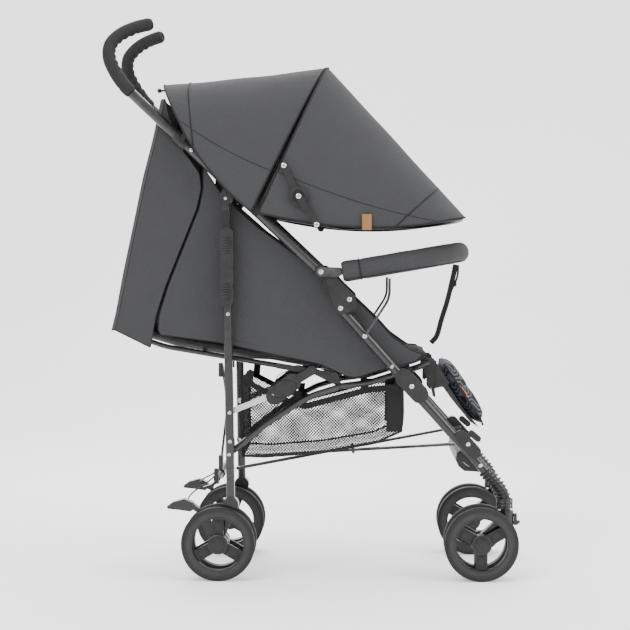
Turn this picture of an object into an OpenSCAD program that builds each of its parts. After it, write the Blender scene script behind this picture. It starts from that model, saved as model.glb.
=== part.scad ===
/* [Overall] */
// Distance between the centre planes of the left and right side frames
track = 388; // [360:2:420]
// Distance from the rear axle to the front axle
wheelbase = 498.5; // [470:0.5:560]
// Diameter of every wheel
wheel_d = 140; // [118:1:150]
// Width of one tyre
tyre_w = 28; // [22:1:30]
// Gap between the two wheels of a pair
twin_gap = 36; // [32:1:42]

/* [Frame tubes] */
// Outer diameter of the handle tubes and front legs
main_d = 19; // [15:0.5:22]
// Wall of the handle tubes and front legs
main_wall = 1.5; // [1:0.1:2.5]
// Rear leg size along the direction of travel
leg_x = 15.5; // [12:0.5:18]
// Rear leg size across the stroller
leg_y = 18; // [14:0.5:18]
// Outer diameter of the seat rails and rear links
rail_d = 12; // [9:0.5:13]
// Outer diameter of the foam grips
grip_d = 26; // [22:0.5:30]

/* [Seat] */
// Width of the seat pad and the backrest
seat_w = 286; // [250:2:290]
// Thickness of the seat pad
seat_pad_t = 24; // [16:1:30]
// Length of the backrest from its hinge to its head end
back_len = 424; // [370:2:428]
// Thickness of the backrest pad
back_pad_t = 20; // [12:1:26]
// Width of the footrest
footrest_w = 264; // [220:2:266]

/* [Canopy and bumper] */
// Width of the canopy over its bow feet
canopy_w = 424; // [420:2:450]
// Height of the canopy crown above the floor
canopy_top = 985; // [940:5:1000]
// Diameter of the bumper bar's padding
bumper_d = 42; // [34:1:48]
// Diameter of the wire stays under the bumper bar
stay_d = 5; // [4:0.5:6]

/* [Basket] */
// Width of the basket
basket_w = 292; // [230:2:296]
// Depth of the basket below its rim
basket_h = 160; // [130:2:166]

/* [Fits] */
// Diameter of the pivot pins
pin_d = 6; // [5:0.5:7]
// Diameter of the wheel axles
axle_d = 8; // [7:0.5:10]
// Radial clearance of a running fit
run_gap = 0.05; // [0.02:0.01:0.1]
// Gap between pieces that move past each other
side_gap = 0.6; // [0.4:0.1:1.2]

/* [Hidden] */
$fn = 48;

// Colours
black = [0.13, 0.13, 0.14];
satin = [0.2, 0.2, 0.21];
cloth = [0.33, 0.33, 0.34];
steel = [0.75, 0.75, 0.76];
charcoal = [0.24, 0.26, 0.3];

// Places in the side view, as [forward, up]
wheel_r = wheel_d / 2;
half_track = track / 2;
rear_axle = [-174.5, wheel_r];
front_axle = [rear_axle[0] + wheelbase, wheel_r];
leg_pivot = [-161, 724];
leg_foot = [-152, wheel_r + 68];
tube_top = [-340, 924];
tube_end = [78, 529];
knee = [57, 516];
leg_slope = 48.34;
leg_dir = [cos(leg_slope), -sin(leg_slope)];
leg_bend = 55;
caster_x = front_axle[0] + 47;
leg_corner = [caster_x, knee[1] - (caster_x - knee[0]) * tan(leg_slope)];
bar_mount = [20, 585];
stay_pivot = [103, 463];
seat_pivot = [191, 374];
rail_joint = [54, 364.5];
link_pivot = [-155, 237];
strip_pivot = [-154, 317];
lever_pivot = [2, 396];
elbow = [-73, 349];
back_pivot = [45, 385.5];
rest_pivot = [228, 411];
bar_front = [297, 260];
bar_rear = [-137, 205.8];
bow_pivot = [-104, 700];
brace_top = 404;
brace_low = 222;
brace_x = -171;
strut_top = [-50, 786];
strut_mid = [-22, 728];
strut_low = [12, 674];

// Planes across the stroller, measured outward from its middle
leg_in = half_track - leg_y / 2;
leg_out = half_track + leg_y / 2;
lever_out = leg_in - side_gap;
lever_t = 12;
strip_t = 3;
strip_out = lever_out - lever_t - side_gap;
link_y = strip_out - strip_t - side_gap * 3 - rail_d / 2;
rail_y = link_y - rail_d - 2;
seat_half = min(seat_w / 2, rail_y - 3);
panel_t = 2.5;
panel_y = link_y + rail_d / 2 + 9;
wing_y = half_track - main_d / 2 - 4;
bow_y = canopy_w / 2 - 5;

// ---- helpers ----

// Puts a drawing of the side view into the plane at y, growing by t towards +Y
module side(y, t) {
    translate([0, y + t, 0]) rotate([90, 0, 0]) linear_extrude(t) children();
}

// The same on both sides: from a to a + t outward
module both(a, t) {
    side(a, t) children();
    side(-a - t, t) children();
}

module dot(p, r) {
    translate(p) circle(r);
}

// Flat bar in the side view, with round ends
module bar2(p, q, w) {
    turn = atan2(q[1] - p[1], q[0] - p[0]);
    polygon([for (end = [[q, -90], [p, 90]], k = [0:9:180])
        end[0] + w / 2 * [cos(turn + end[1] + k), sin(turn + end[1] + k)]]);
}

module round_rect(w, h, r) {
    square([w - 2 * r, h], center = true);
    square([w, h - 2 * r], center = true);
    for (x = [-1, 1], y = [-1, 1])
        translate([x * (w / 2 - r), y * (h / 2 - r)]) circle(r);
}

// Pin across the stroller from y0 to y1
module pin(p, y0, y1, d) {
    translate([p[0], y0, p[1]]) rotate([-90, 0, 0]) cylinder(h = y1 - y0, d = d);
}

module pins(p, a, b, d) {
    pin(p, a, b, d);
    pin(p, -b, -a, d);
}

// Rivet head standing out of a face at distance a from the middle
module heads(p, a, d = 9) {
    for (s = [1, -1])
        translate([p[0], s * a, p[1]]) rotate([-90 * s, 0, 0]) {
            cylinder(h = 1.2, d = d);
            translate([0, 0, 1.2]) cylinder(h = 1.4, d1 = d, d2 = d * 0.6);
        }
}

// Points of the side view with each inner corner rounded to radius bend
function rounded(p, bend, steps = 5) = [
    p[0],
    for (i = [1:len(p) - 2])
        let (u = (p[i] - p[i - 1]) / norm(p[i] - p[i - 1]),
             v = (p[i + 1] - p[i]) / norm(p[i + 1] - p[i]),
             half = acos(min(1, u * v)) / 2,
             cut = min(bend * tan(half), norm(p[i] - p[i - 1]) * 0.45, norm(p[i + 1] - p[i]) * 0.45))
        for (k = [0:steps]) curve3(p[i] - u * cut, p[i], p[i] + v * cut, k / steps),
    p[len(p) - 1]];

// Round tube swept along points in space, closed at both ends; key is never along the route
function ring(p, i, r, n, key) =
    let (a = p[max(i - 1, 0)], b = p[min(i + 1, len(p) - 1)], d = (b - a) / norm(b - a),
         u = cross(d, key) / norm(cross(d, key)), v = cross(u, d))
    [for (j = [0:n - 1]) p[i] + r * (cos(360 * j / n) * u + sin(360 * j / n) * v)];

module sweep(p, r, n = 12, key = [0, 1, 0]) {
    m = len(p);
    verts = [for (i = [0:m - 1]) each ring(p, i, r, n, key)];
    faces = concat(
        [[for (j = [n - 1:-1:0]) j]],
        [[for (j = [0:n - 1]) (m - 1) * n + j]],
        [for (i = [0:m - 2], j = [0:n - 1])
            let (a = i * n + j, b = i * n + (j + 1) % n)
            each [[a, b + n, a + n], [a, b, b + n]]]);
    polyhedron(verts, faces, convexity = 6);
}

// Solid rod through points of the side view at y, with each corner bent to radius bend
module rod(points, y, d, bend) {
    sweep([for (q = rounded(points, bend)) [q[0], y, q[1]]], d / 2, 12);
}

// Straight round bar in the side view at y
module bar(p, q, y, d) {
    translate([p[0], y, p[1]]) rotate([0, 90 - atan2(q[1] - p[1], q[0] - p[0]), 0])
        cylinder(h = norm(q - p), d = d);
}

module pipe(p, q, y, d, wall) {
    difference() {
        bar(p, q, y, d);
        bar(p - (q - p) * 0.01, q + (q - p) * 0.01, y, d - 2 * wall);
    }
}

// Closed thin shell between an outer and an inner grid of points of the same size
module shell(outer, inner) {
    rows = len(outer);
    cols = len(outer[0]);
    n = rows * cols;
    verts = concat([for (r = outer) each r], [for (r = inner) each r]);
    faces = concat(
        [for (i = [0:rows - 2], j = [0:cols - 2])
            let (a = i * cols + j, b = a + 1, c = a + cols, d = c + 1)
            each [[a, b, d], [a, d, c], [n + a, n + d, n + b], [n + a, n + c, n + d]]],
        [for (j = [0:cols - 2])
            let (a = j, b = j + 1, c = (rows - 1) * cols + j, d = c + 1)
            each [[a, n + b, b], [a, n + a, n + b], [c, d, n + d], [c, n + d, n + c]]],
        [for (i = [0:rows - 2])
            let (a = i * cols, c = a + cols, b = a + cols - 1, d = b + cols)
            each [[a, c, n + c], [a, n + c, n + a], [b, n + d, d], [b, n + b, n + d]]]);
    polyhedron(verts, faces, convexity = 6);
}

// Point on the handle tube at share u of its length, and on the front leg at a distance from the knee
function tube_at(u) = tube_top + (tube_end - tube_top) * u;
function leg_at(far) = knee + leg_dir * far;
function mix(a, b, u) = a + (b - a) * u;
function curve3(a, m, b, u) = a * (1 - u) * (1 - u) + m * 2 * u * (1 - u) + b * u * u;
function power(v, e) = sign(v) * pow(abs(v), e);

// Point of an arch from a foot to its crown: t is 0 at the right foot and 180 at the left
function arch(foot, crown, half, t, e = 0.6) =
    let (h = power(sin(t), e))
    [mix(foot[0], crown[0], h), -half * power(cos(t), e), mix(foot[1], crown[1], h)];

// ---- front frame: handle tubes, front legs and what is fixed to them ----

module handle_tube(s) {
    color(black) pipe(tube_top, tube_end, s * half_track, main_d, main_wall);
}

module grips() {
    // lower end, bend and tip of one grip, as [forward, inward, up]
    grip_line = [[-341, 0, 925], [-357, 3, 943], [-374, 12, 968], [-386, 24, 996],
                 [-384, 38, 1022], [-366, 52, 1042], [-340, 66, 1056], [-310, 80, 1065]];
    color(black) for (s = [1, -1])
        sweep([for (g = grip_line) [g[0], s * (half_track - g[1]), g[2]]],
              grip_d / 2, 16);
}

// The leg as a solid rod: a slope, a bend and a vertical end that is the caster's post
module leg_rod(y, d, extra) {
    cut = leg_bend * tan((90 - leg_slope) / 2);
    foot = wheel_r + 42 - extra;
    swell = extra > 0 ? -0.3 : 0.3;
    lap = 0.6;
    bar(knee - extra * leg_dir, leg_corner - (cut - lap) * leg_dir, y, d);
    translate([leg_corner[0] - leg_bend, y, leg_corner[1] - cut]) rotate([90, 0, 0])
        rotate_extrude(angle = 90 - leg_slope) translate([leg_bend, 0]) circle(d = d + swell);
    translate([caster_x, y, foot]) cylinder(h = leg_corner[1] - cut - foot + lap, d = d);
}

module front_leg(s) {
    color(black) difference() {
        leg_rod(s * half_track, main_d, 0);
        leg_rod(s * half_track, main_d - 2 * main_wall, 1);
    }
}

module mid_brackets() {
    color(black) {
        both(half_track + main_d / 2 + 0.1, 5) {
            bar2(bar_mount, [46, 560], 25);
            bar2([40, 566], [74, 533], 24);
            bar2([44, 552], knee, 20);
            bar2(knee, [78, 520], 22);
        }
        both(half_track - main_d / 2 - 5.1, 5) {
            bar2(bar_mount, [74, 533], 24);
            bar2([50, 552], knee, 20);
        }
    }
}

module eye(far, w) {
    difference() {
        bar2(far, leg_pivot, w);
        dot(leg_pivot, pin_d / 2 + run_gap);
    }
}

module tube_fittings() {
    color(black) {
        // collars that carry the rear bow
        for (s = [1, -1]) difference() {
            bar(tube_at(0.2), tube_at(0.25), s * half_track, main_d + 7);
            bar(tube_at(0.15), tube_at(0.3), s * half_track, main_d + 0.1);
        }
        // housings of the rear leg pivots
        both(leg_out + side_gap, 4) eye([-148, 752], 25);
        both(leg_in - side_gap - 3, 3) eye([-148, 752], 25);
        // bosses of the canopy bows
        both(half_track + main_d / 2 + 0.3, 1.2) dot(bow_pivot, 9);
    }
    color(steel) pins(bow_pivot, half_track + main_d / 2 + 1.5, bow_y + 6, pin_d);
}

module leg_brackets() {
    color(black) {
        // seat clamps round the front legs
        for (s = [1, -1]) difference() {
            side(s * (half_track + 1) - 15, 30) bar2([178, 384], [207, 353], 34);
            bar(leg_at(100), leg_at(300), s * half_track, main_d + 0.1);
        }
        both(rail_y + 9, half_track - 14 - rail_y - 9) difference() {
            dot(seat_pivot, 9);
            dot(seat_pivot, pin_d / 2 + run_gap);
        }
        // brackets of the lower bars
        for (s = [1, -1]) difference() {
            side(s * half_track - 14, 28) bar2([286, 272], [312, 243], 24);
            bar(leg_at(280), leg_at(430), s * half_track, main_d + 0.1);
        }
        both(half_track - 6, 14) bar2([306, 278], [318, 268], 12);
    }
}

module foot_step() {
    color(black) difference() {
        side(-half_track + main_d / 2 + 3, track - main_d - 6) {
            polygon([[279, 240], [277, 226], [282, 214], [293, 205], [323, 203],
                     [320, 210], [299, 214], [290, 222], [287, 236], [292, 246]]);
        }
    }
    color(black) both(half_track - main_d / 2 - 2.9, 2.8) bar2([290, 232], [318, 212], 14);
}

module frame_rivets() {
    out = half_track + main_d / 2;
    color(steel) {
        for (p = [[74, 533], knee]) heads(p, out + 5.2);
        heads(bar_mount, out + 10.8);
        heads(stay_pivot, out + 0.2);
        heads([155, 405], out + 0.2, 7);
        heads(seat_pivot + [1, -6], half_track + 16.1);
        heads([323, 217], out + 0.2, 8);
        heads([299, 258], half_track + 14.1, 8);
        heads([-226, 816], out + 0.2, 7);
        pins(leg_pivot, leg_in - side_gap - 3, leg_out + side_gap + 7, pin_d);
    }
}

module rear_bow() {
    color(black) sweep([for (t = [0:9:180])
        arch([-236, 846], [-281, canopy_top - 45], half_track + 14, t)], 4, 8, [1, 0, 0]);
    color(black) both(half_track + 13.7, 3) bar2([-236, 847], [-244, 834], 10);
    // knobs that stand out behind the canopy's edge
    color(black) for (s = [1, -1]) translate([-294, s * 120, canopy_top - 50]) {
        rotate([0, 90, 0]) cylinder(h = 14, d = 4);
        sphere(d = 9, $fn = 24);
    }
}

// Panel of the canopy: hem and crown are lists of three control points
module canopy_panel(hem, crown, w0, w1, u_steps = 10) {
    us = [for (i = [0:u_steps]) i / u_steps];
    ts = [for (i = [0:24]) 180 * i / 24];
    grid = function (drop) [for (u = us) [for (t = ts)
        arch(curve3(hem[0], hem[1], hem[2], u),
             curve3(crown[0], crown[1], crown[2], u) - [0, drop],
             mix(w0, w1, u) - drop, t)]];
    shell(grid(0), grid(2.5));
}

module canopy_rear() {
    color(cloth) canopy_panel(
        [[-238, 846], [-186, 756], [-112, 699]],
        [[-287, canopy_top - 35], [-130, canopy_top - 10], [28, canopy_top]],
        canopy_w / 2 + 6, canopy_w / 2 + 6);
}

module canopy_front() {
    color(cloth) canopy_panel(
        [[-98, 697], [70, 655], [222, 676]],
        [[32, canopy_top], [172, canopy_top - 139], [300, 691]],
        canopy_w / 2 + 6, canopy_w / 2 + 1);
}

back_edge = [[-300, 850], [-320, 771], [-344, 660], [-374, 507], [-382, 474]];

module rear_curtain() {
    wing = concat([[-284, 916]], back_edge,
        [[-360, 455], [-307, 439], [-297, 500], [-278, 559], [-244, 643], [-219, 705],
         [-210, 744], [-213, 772], [-232, 800], [-262, 838]]);
    color(cloth) {
        both(wing_y - 2, 2) polygon(wing);
        side(-wing_y, 2 * wing_y)
            polygon(concat(back_edge, [for (i = [len(back_edge) - 1:-1:0]) back_edge[i] + [2.5, 0]]));
    }
}

module side_panels() {
    color(cloth) both(panel_y, panel_t) polygon([
        [-205, 785], [-168, 728], [-100, 668], [0, 595], [83, 534], [128, 491],
        [155, 461], [190, 436], [214, 427], [198, 414], [168, 406], [128, 397], [90, 384],
        [73, 384], [48, 396], [21, 408], [-13, 416], [-59, 425], [-168, 449],
        [-292, 466], [-290, 500], [-272, 559], [-238, 643], [-213, 705], [-205, 744]]);
}

// Route of the bumper bar, from the right mount to the left
bumper_reach = 290;
bumper_arm = 170;
bumper_start = 60;
function bumper_at(x, y) = [x, y, 583 + (x - 50) / 6];
bumper_line = concat(
    [for (x = [bumper_start:36:bumper_arm]) bumper_at(x, -half_track)],
    [for (a = [12:12:168]) bumper_at(
        bumper_arm + (bumper_reach - bumper_arm) * sin(a), -half_track * cos(a))],
    [for (x = [bumper_start + 108:-36:bumper_start]) bumper_at(x, half_track)]);

module bumper_bar() {
    color(black) both(half_track + main_d / 2 + 5.6, 5) bar2(bar_mount, [50, 584], 18);
    color(steel) for (s = [1, -1])
        rod([[150, 573], [150, 535], stay_pivot],
            s * (half_track + main_d / 2 + 3 + stay_d / 2), stay_d, 50);
}

module bumper_pad() {
    color(cloth) sweep(bumper_line, bumper_d / 2, 14, [0, 0, 1]);
}

module crotch_strap() {
    color(black) side(-14, 28) polygon([
        [281, 598], [287, 598], [272, 540], [258, 490], [249, 455], [234, 441], [232, 443],
        [245, 457], [254, 491], [267, 541]]);
}

// ---- rear frame: rear legs, cross brace and wheel housings ----

module rear_leg(s) {
    length = leg_pivot[1] - leg_foot[1];
    lean = atan2(leg_foot[0] - leg_pivot[0], length);
    color(black) difference() {
        translate([leg_pivot[0], s * half_track, leg_pivot[1]]) rotate([0, -lean + 180, 0])
            translate([0, 0, -9]) linear_extrude(length + 9) round_rect(leg_x, leg_y, 4);
        pin(leg_pivot, s * half_track - 12, s * half_track + 12, pin_d + 2 * run_gap);
    }
}

module back_brace() {
    reach = leg_in - 3;
    high = [-reach, brace_top - 6];
    low = [reach, brace_low];
    color(black) {
        translate([brace_x + 1.7, 0, 0]) rotate([90, 0, 90]) linear_extrude(3) difference() {
            bar2(high, low, 13);
            dot([0, (high[1] + low[1]) / 2], 3.1);
        }
        translate([brace_x - 1.7, 0, 0]) rotate([90, 0, 90]) linear_extrude(3) difference() {
            bar2([-high[0], high[1]], [-low[0], low[1]], 13);
            dot([0, (high[1] + low[1]) / 2], 3.1);
        }
        // top and bottom brackets on the rear legs
        for (s = [1, -1], z = [brace_top - 6, brace_low])
            translate([brace_x - 4.2, s * (leg_in + 3) - 9, z - 13]) cube([8, 18, 26]);
        // sleeve that joins the two lower brackets
        translate([brace_x - 9, -reach + 6, 188]) rotate([-90, 0, 0]) cylinder(h = 2 * reach - 12, d = 13);
        for (s = [1, -1]) translate([brace_x - 13.5, s * (reach + 1) - 7, 180]) cube([9, 14, 29]);
    }
    color(steel) translate([brace_x - 3, 0, (high[1] + low[1]) / 2]) rotate([0, 90, 0])
        cylinder(h = 9, d = pin_d);
}

module housing(axle, socket, s) {
    wide = twin_gap - 2 * 3;
    difference() {
        side(s * half_track - wide / 2, wide) {
            dot(axle, 20);
            bar2(axle + [-4, 14], socket + [0, 4], 30);
            bar2(axle + [-6, 8], [-206, 120], 16);
        }
        pin(axle, s * half_track - wide, s * half_track + wide, axle_d);
        translate([socket[0] - leg_x / 2 - 0.8, s * half_track - leg_y / 2 - 0.3, socket[1] - 0.8])
            cube([leg_x + 1.4, leg_y + 0.6, 60]);
    }
}

module axle_housing(s) {
    color(black) housing(rear_axle, leg_foot, s);
}

module rear_axles() {
    half = twin_gap / 2 + tyre_w + 1;
    color(steel) pins(rear_axle, half_track - half, half_track + half, axle_d - 0.02);
}

module carry_grip() {
    color(black) for (z = [540, 575, 610, 645])
        difference() {
            side(-leg_out - 3, leg_y + 6) bar2([-159, z - 10], [-159, z + 12], 26);
            side(-leg_out - 0.3, leg_y + 0.6) translate([-159 - leg_x / 2 - 2.2, z - 40])
                square([leg_x + 4.4, 80]);
        }
}

module rear_rivets() {
    color(steel) {
        pins(link_pivot, link_y + 1, leg_in - 0.1, pin_d);
        pins(strip_pivot, strip_out + 0.1, leg_in - 0.1, pin_d + 4);
        pins(strip_pivot, strip_out - strip_t - 2, strip_out + 0.1, pin_d);
        for (p = [link_pivot, strip_pivot, [-153, 262], [-157, 505]]) heads(p, leg_out + 0.1, 7);
    }
}

module brake_pedal(s) {
    color(black) side(s * half_track - 14, 28) difference() {
        union() {
            bar2([-216, 133], [-228, 141], 9);
            polygon([[-222, 133], [-229, 129], [-250, 132], [-271, 134], [-274, 138],
                     [-262, 147], [-240, 153], [-224, 146]]);
        }
    }
}

module fold_pedal() {
    color(black) {
        translate([brace_x - 9, -70, 188]) rotate([-90, 0, 0]) difference() {
            cylinder(h = 26, d = 19);
            translate([0, 0, -1]) cylinder(h = 28, d = 13 + 2 * run_gap);
        }
        side(-66, 18) polygon([[-183, 181], [-178, 179], [-196, 160], [-214, 156], [-215, 161], [-199, 166]]);
    }
}

// ---- wheels ----

module rim(axle, s, phase) {
    inner = 49 * wheel_d / 140;
    outer = 60.5 * wheel_d / 140;
    for (k = [-1, 1]) {
        y = s * half_track + k * (twin_gap + tyre_w) / 2;
        translate([axle[0], y, axle[1]]) rotate([90, 0, 0]) difference() {
            union() {
                difference() {
                    cylinder(h = tyre_w - 4, r = outer, center = true);
                    cylinder(h = tyre_w, r = inner, center = true);
                }
                cylinder(h = tyre_w - 6, r = 19, center = true);
                for (a = [0:120:240]) rotate(phase + a) translate([0, -11, -5])
                    cube([inner + 2, 22, 10]);
            }
            cylinder(h = tyre_w + 10, d = axle_d + 2 * run_gap, center = true);
        }
    }
}

module tyre(axle, s) {
    seat = 60.5 * wheel_d / 140;
    half = tyre_w / 2;
    for (k = [-1, 1]) {
        y = s * half_track + k * (twin_gap + tyre_w) / 2;
        translate([axle[0], y, axle[1]]) rotate([90, 0, 0]) rotate_extrude() difference() {
            union() {
                translate([seat, -half + 3]) square([wheel_r - seat - 4, tyre_w - 6]);
                translate([seat, -half]) square([wheel_r - seat - 6, tyre_w]);
                translate([wheel_r - 7, -half + 6]) square([7, tyre_w - 12]);
                for (m = [-1, 1]) translate([wheel_r - 6, m * (half - 6)]) circle(6);
            }
            translate([0, -half]) square([seat, tyre_w]);
        }
    }
}

// ---- front casters ----

module fork(s) {
    wide = twin_gap - 6;
    color(black) difference() {
        union() {
            side(s * half_track - wide / 2, wide) {
                dot(front_axle, 16);
                bar2(front_axle, [caster_x - 8, wheel_r + 36], 26);
            }
            translate([caster_x, s * half_track, wheel_r + 20]) cylinder(h = 42, r = 15);
        }
        translate([caster_x, s * half_track, wheel_r + 33]) cylinder(h = 60, r = main_d / 2 + run_gap);
        pin(front_axle, s * half_track - wide, s * half_track + wide, axle_d);
    }
    half = twin_gap / 2 + tyre_w + 1;
    color(steel) pin(front_axle, s * half_track - half, s * half_track + half, axle_d - 0.02);
}

module spring(s) {
    color(steel) translate([caster_x - 2, s * half_track, wheel_r + 63]) difference() {
        cylinder(h = 22, r = main_d / 2 + 8);
        translate([0, 0, -1]) cylinder(h = 24, r = main_d / 2 + 5);
    }
}

module swivel_lock(s) {
    color(black) side(s * half_track - 6, 12) translate([caster_x + 15.4, wheel_r + 34])
        polygon([[0, 0], [6, 0], [12, 5], [12, 8], [6, 9], [6, 22], [0, 22]]);
}

// ---- seat ----

module seat_rails() {
    path = [rail_joint, [112, 372], [206, 402], rest_pivot];
    color(black) {
        for (s = [1, -1]) rod(path, s * rail_y, rail_d, 40);
        both(rail_y + 1, 7) {
            bar2(seat_pivot, [188, 394], 15);
        }
        both(rail_y - 2, 4) {
            bar2(rail_joint, back_pivot, 12);
            bar2(rail_joint + [-4, 8], lever_pivot, 12);
        }
    }
    color(steel) {
        pins(back_pivot, rail_y - 4.8, rail_y - 1, pin_d);
        pins(seat_pivot, rail_y + 7, rail_y + 14, pin_d);
        pins(lever_pivot, rail_y + 2, lever_out - 0.2, pin_d);
    }
}

module seat_pad() {
    color(cloth) side(-seat_half, 2 * seat_half) polygon([
        [52, 387], [110, 388], [200, 412], [226, 421], [232, 430], [222, 438], [205, 438],
        [110, 387 + seat_pad_t], [58, 386 + seat_pad_t]]);
}

module harness() {
    color(black) {
        for (s = [1, -1]) side(s * 70 - 13, 26)
            polygon([[62, 413.4], [110, 414.4], [180, 434], [180, 436.4], [110, 416.8], [62, 415.8]]);
        side(-22, 44) polygon([[150, 428], [196, 440], [194, 450], [148, 438]]);
    }
}

module footrest_hinges() {
    color(black) both(rail_y - 14, 6)
        polygon([[221, 419], [236, 418], [266, 372], [262, 362], [250, 363], [238, 360], [240, 342],
                 [234, 346], [230, 366], [226, 362], [222, 366], [222, 384], [217, 396]]);
}

module backrest_frame() {
    head = back_pivot + back_len * [-0.9781, 0.2079];
    half = rail_y - 8.5;
    line = [back_pivot - [14, -2], [-64, 404], [-285, 441], head];
    color(black) {
        for (s = [1, -1]) rod(line, s * half, 10, 200);
        both(rail_y - 4.6, 2) difference() {
            bar2(back_pivot, line[1], 11);
            dot(back_pivot, pin_d / 2 + run_gap);
        }
        translate([head[0], -half, head[1]]) rotate([-90, 0, 0]) cylinder(h = 2 * half, d = 9.8);
        translate([-210, -half, 428.5]) rotate([-90, 0, 0]) cylinder(h = 2 * half, d = 8);
    }
}

module backrest_pad() {
    head = back_pivot + (back_len - 2) * [-0.9781, 0.2079];
    lift = 6.5;
    color(cloth) side(-seat_half, 2 * seat_half) polygon([
        [26, 394.6], [-64, 404 + lift], [-285, 441 + lift], [head[0], head[1] + lift],
        [head[0], head[1] + lift + back_pad_t], [-285, 441 + lift + back_pad_t],
        [-64, 404 + lift + back_pad_t], [26, 394 + back_pad_t]]);
}

module rear_links() {
    along = [0.78, 0.626];
    color(black) {
        for (s = [1, -1])
            rod([link_pivot + along * 12, [-85, 293], [-20, 336], [6, 349], rail_joint + [-1, -1]],
                s * link_y, rail_d, 60);
        both(link_y - 2, 4) difference() {
            bar2(link_pivot, link_pivot + along * 20, rail_d);
            dot(link_pivot, pin_d / 2 + run_gap);
        }
    }
}

module lower_bars() {
    reach = half_track - 27;
    color(black) for (s = [1, -1]) {
        run = norm(bar_front - bar_rear);
        lean = atan2(bar_front[1] - bar_rear[1], bar_front[0] - bar_rear[0]);
        // each bar is flat, and crosses from one side to the other
        translate([bar_rear[0], 0, bar_rear[1]]) rotate([0, -lean, 0])
            translate([0, 0, s * 3.2 - 2.5]) linear_extrude(5) difference() {
                bar2([0, -s * reach], [run, s * reach], 13);
                dot([run / 2, 0], 3.1);
            }
    }
    mid = (bar_front + bar_rear) / 2;
    color(steel) translate([mid[0] + 1, 0, mid[1] - 10]) rotate([0, -7.1, 0]) cylinder(h = 20, d = pin_d);
}

module lock_levers() {
    color(black) both(lever_out - lever_t, lever_t) difference() {
        union() {
            bar2(lever_pivot, [-30, 377], 17);
            bar2([-35, 374], elbow + [4, -1], 33);
        }
        dot(lever_pivot, pin_d / 2 + run_gap);
        dot(elbow, pin_d / 2 + run_gap);
    }
}

module lock_strips() {
    color(steel) {
        both(strip_out - strip_t, strip_t) difference() {
            bar2(strip_pivot, elbow, 11);
            dot(strip_pivot, pin_d / 2 + run_gap);
        }
    }
}

// ---- footrest ----

function rest_edge(u) = [mix(240, 330, u), mix(420, 284, u)];

module footrest_board() {
    half = min(footrest_w / 2, rail_y - 15) - 0.5;
    color(black) side(-half, 2 * half) polygon([
        [249, 391], [262, 370], [292, 322], [318, 290], [324, 284], [306, 296], [270, 340], [246, 374]]);
}

module footrest_pad() {
    half = min(footrest_w / 2, rail_y - 15);
    color(charcoal) side(-half, 2 * half) polygon([
        [250, 414], [249, 399], [265, 372], [294, 324], [320, 293], [331, 280], [333, 284],
        [329, 301], [316, 325], [291, 363], [272, 391], [259, 413]]);
}

// ---- canopy bows and struts ----

module mid_bow() {
    color(black) {
        sweep([for (t = [0:7.5:180])
            arch(bow_pivot + [6, 13], [30, canopy_top - 8], bow_y + 1, t)], 3, 8, [1, 0, 0]);
        both(half_track + main_d / 2 + 1.8, 2.6) difference() {
            bar2(bow_pivot, bow_pivot + [6, 13], 12);
            dot(bow_pivot, pin_d / 2 + run_gap);
        }
    }
}

module front_bow() {
    edge = [for (t = [0:7.5:180]) arch([212, 676], [293, 686], bow_y - 6, t)];
    color(black) {
        sweep(concat([[bow_pivot[0] + 18, -bow_y - 2, bow_pivot[1] - 3], [60, -bow_y, 674]], edge,
                     [[60, bow_y, 674], [bow_pivot[0] + 18, bow_y + 2, bow_pivot[1] - 3]]), 3, 8, [0, 0, 1]);
        both(half_track + main_d / 2 + 5, 2.6) difference() {
            bar2(bow_pivot, bow_pivot + [20, -3], 12);
            dot(bow_pivot, pin_d / 2 + run_gap);
        }
    }
}

strut_y = canopy_w / 2 + 7.5;

module strut(p, q, y) {
    color(black) both(y, 4) bar2(p, q, 13);
}

module strut_uppers() {
    strut(strut_top, strut_mid, strut_y);
    color(black) both(strut_y, 4) dot(strut_mid, 18.5);
}

module strut_lowers() {
    strut(strut_mid, strut_low, strut_y + 4.4);
}

// ---- basket ----

module basket() {
    rim_z = 386;
    out = [[-134, rim_z - 4], [-60, rim_z - 42], [-10, rim_z - 56], [110, rim_z - 24], [176, rim_z - 18], [184, rim_z - 60],
           [176, rim_z - 110], [120, rim_z - 134], [20, rim_z - 152], [-90, rim_z - basket_h],
           [-128, rim_z - basket_h + 4], [-140, rim_z - 60]];
    half = basket_w / 2;
    color(black) difference() {
        side(-half, basket_w) polygon(out);
        side(-half + 3, basket_w - 6)
            translate([22, 300]) scale([0.965, 0.93]) translate([-22, -298])
                polygon(concat([[-134, rim_z + 60]], [[176, rim_z + 60]], [for (i = [4:len(out) - 1]) out[i]]));
    }
}

handle_tube(-1);  // handle_tube_r
handle_tube(1);  // handle_tube_l
grips();
front_leg(-1);  // front_leg_r
front_leg(1);  // front_leg_l
mid_brackets();
tube_fittings();
leg_brackets();
foot_step();
frame_rivets();
rear_bow();
canopy_rear();
rear_curtain();
side_panels();
bumper_bar();
bumper_pad();
crotch_strap();
rear_leg(-1);  // rear_leg_r
rear_leg(1);  // rear_leg_l
back_brace();
axle_housing(-1);  // axle_housing_r
axle_housing(1);  // axle_housing_l
rear_axles();
carry_grip();
rear_rivets();
brake_pedal(-1);  // brake_pedal_r
brake_pedal(1);  // brake_pedal_l
fold_pedal();
color(black) rim(rear_axle, -1, 90);  // rear_rim_r
color(black) rim(rear_axle, 1, 90);  // rear_rim_l
color(satin) tyre(rear_axle, -1);  // rear_tyre_r
color(satin) tyre(rear_axle, 1);  // rear_tyre_l
color(black) rim(front_axle, -1, 30);  // front_rim_r
color(black) rim(front_axle, 1, 30);  // front_rim_l
color(satin) tyre(front_axle, -1);  // front_tyre_r
color(satin) tyre(front_axle, 1);  // front_tyre_l
fork(-1);  // fork_r
fork(1);  // fork_l
spring(-1);  // spring_r
spring(1);  // spring_l
swivel_lock(-1);  // swivel_lock_r
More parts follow.
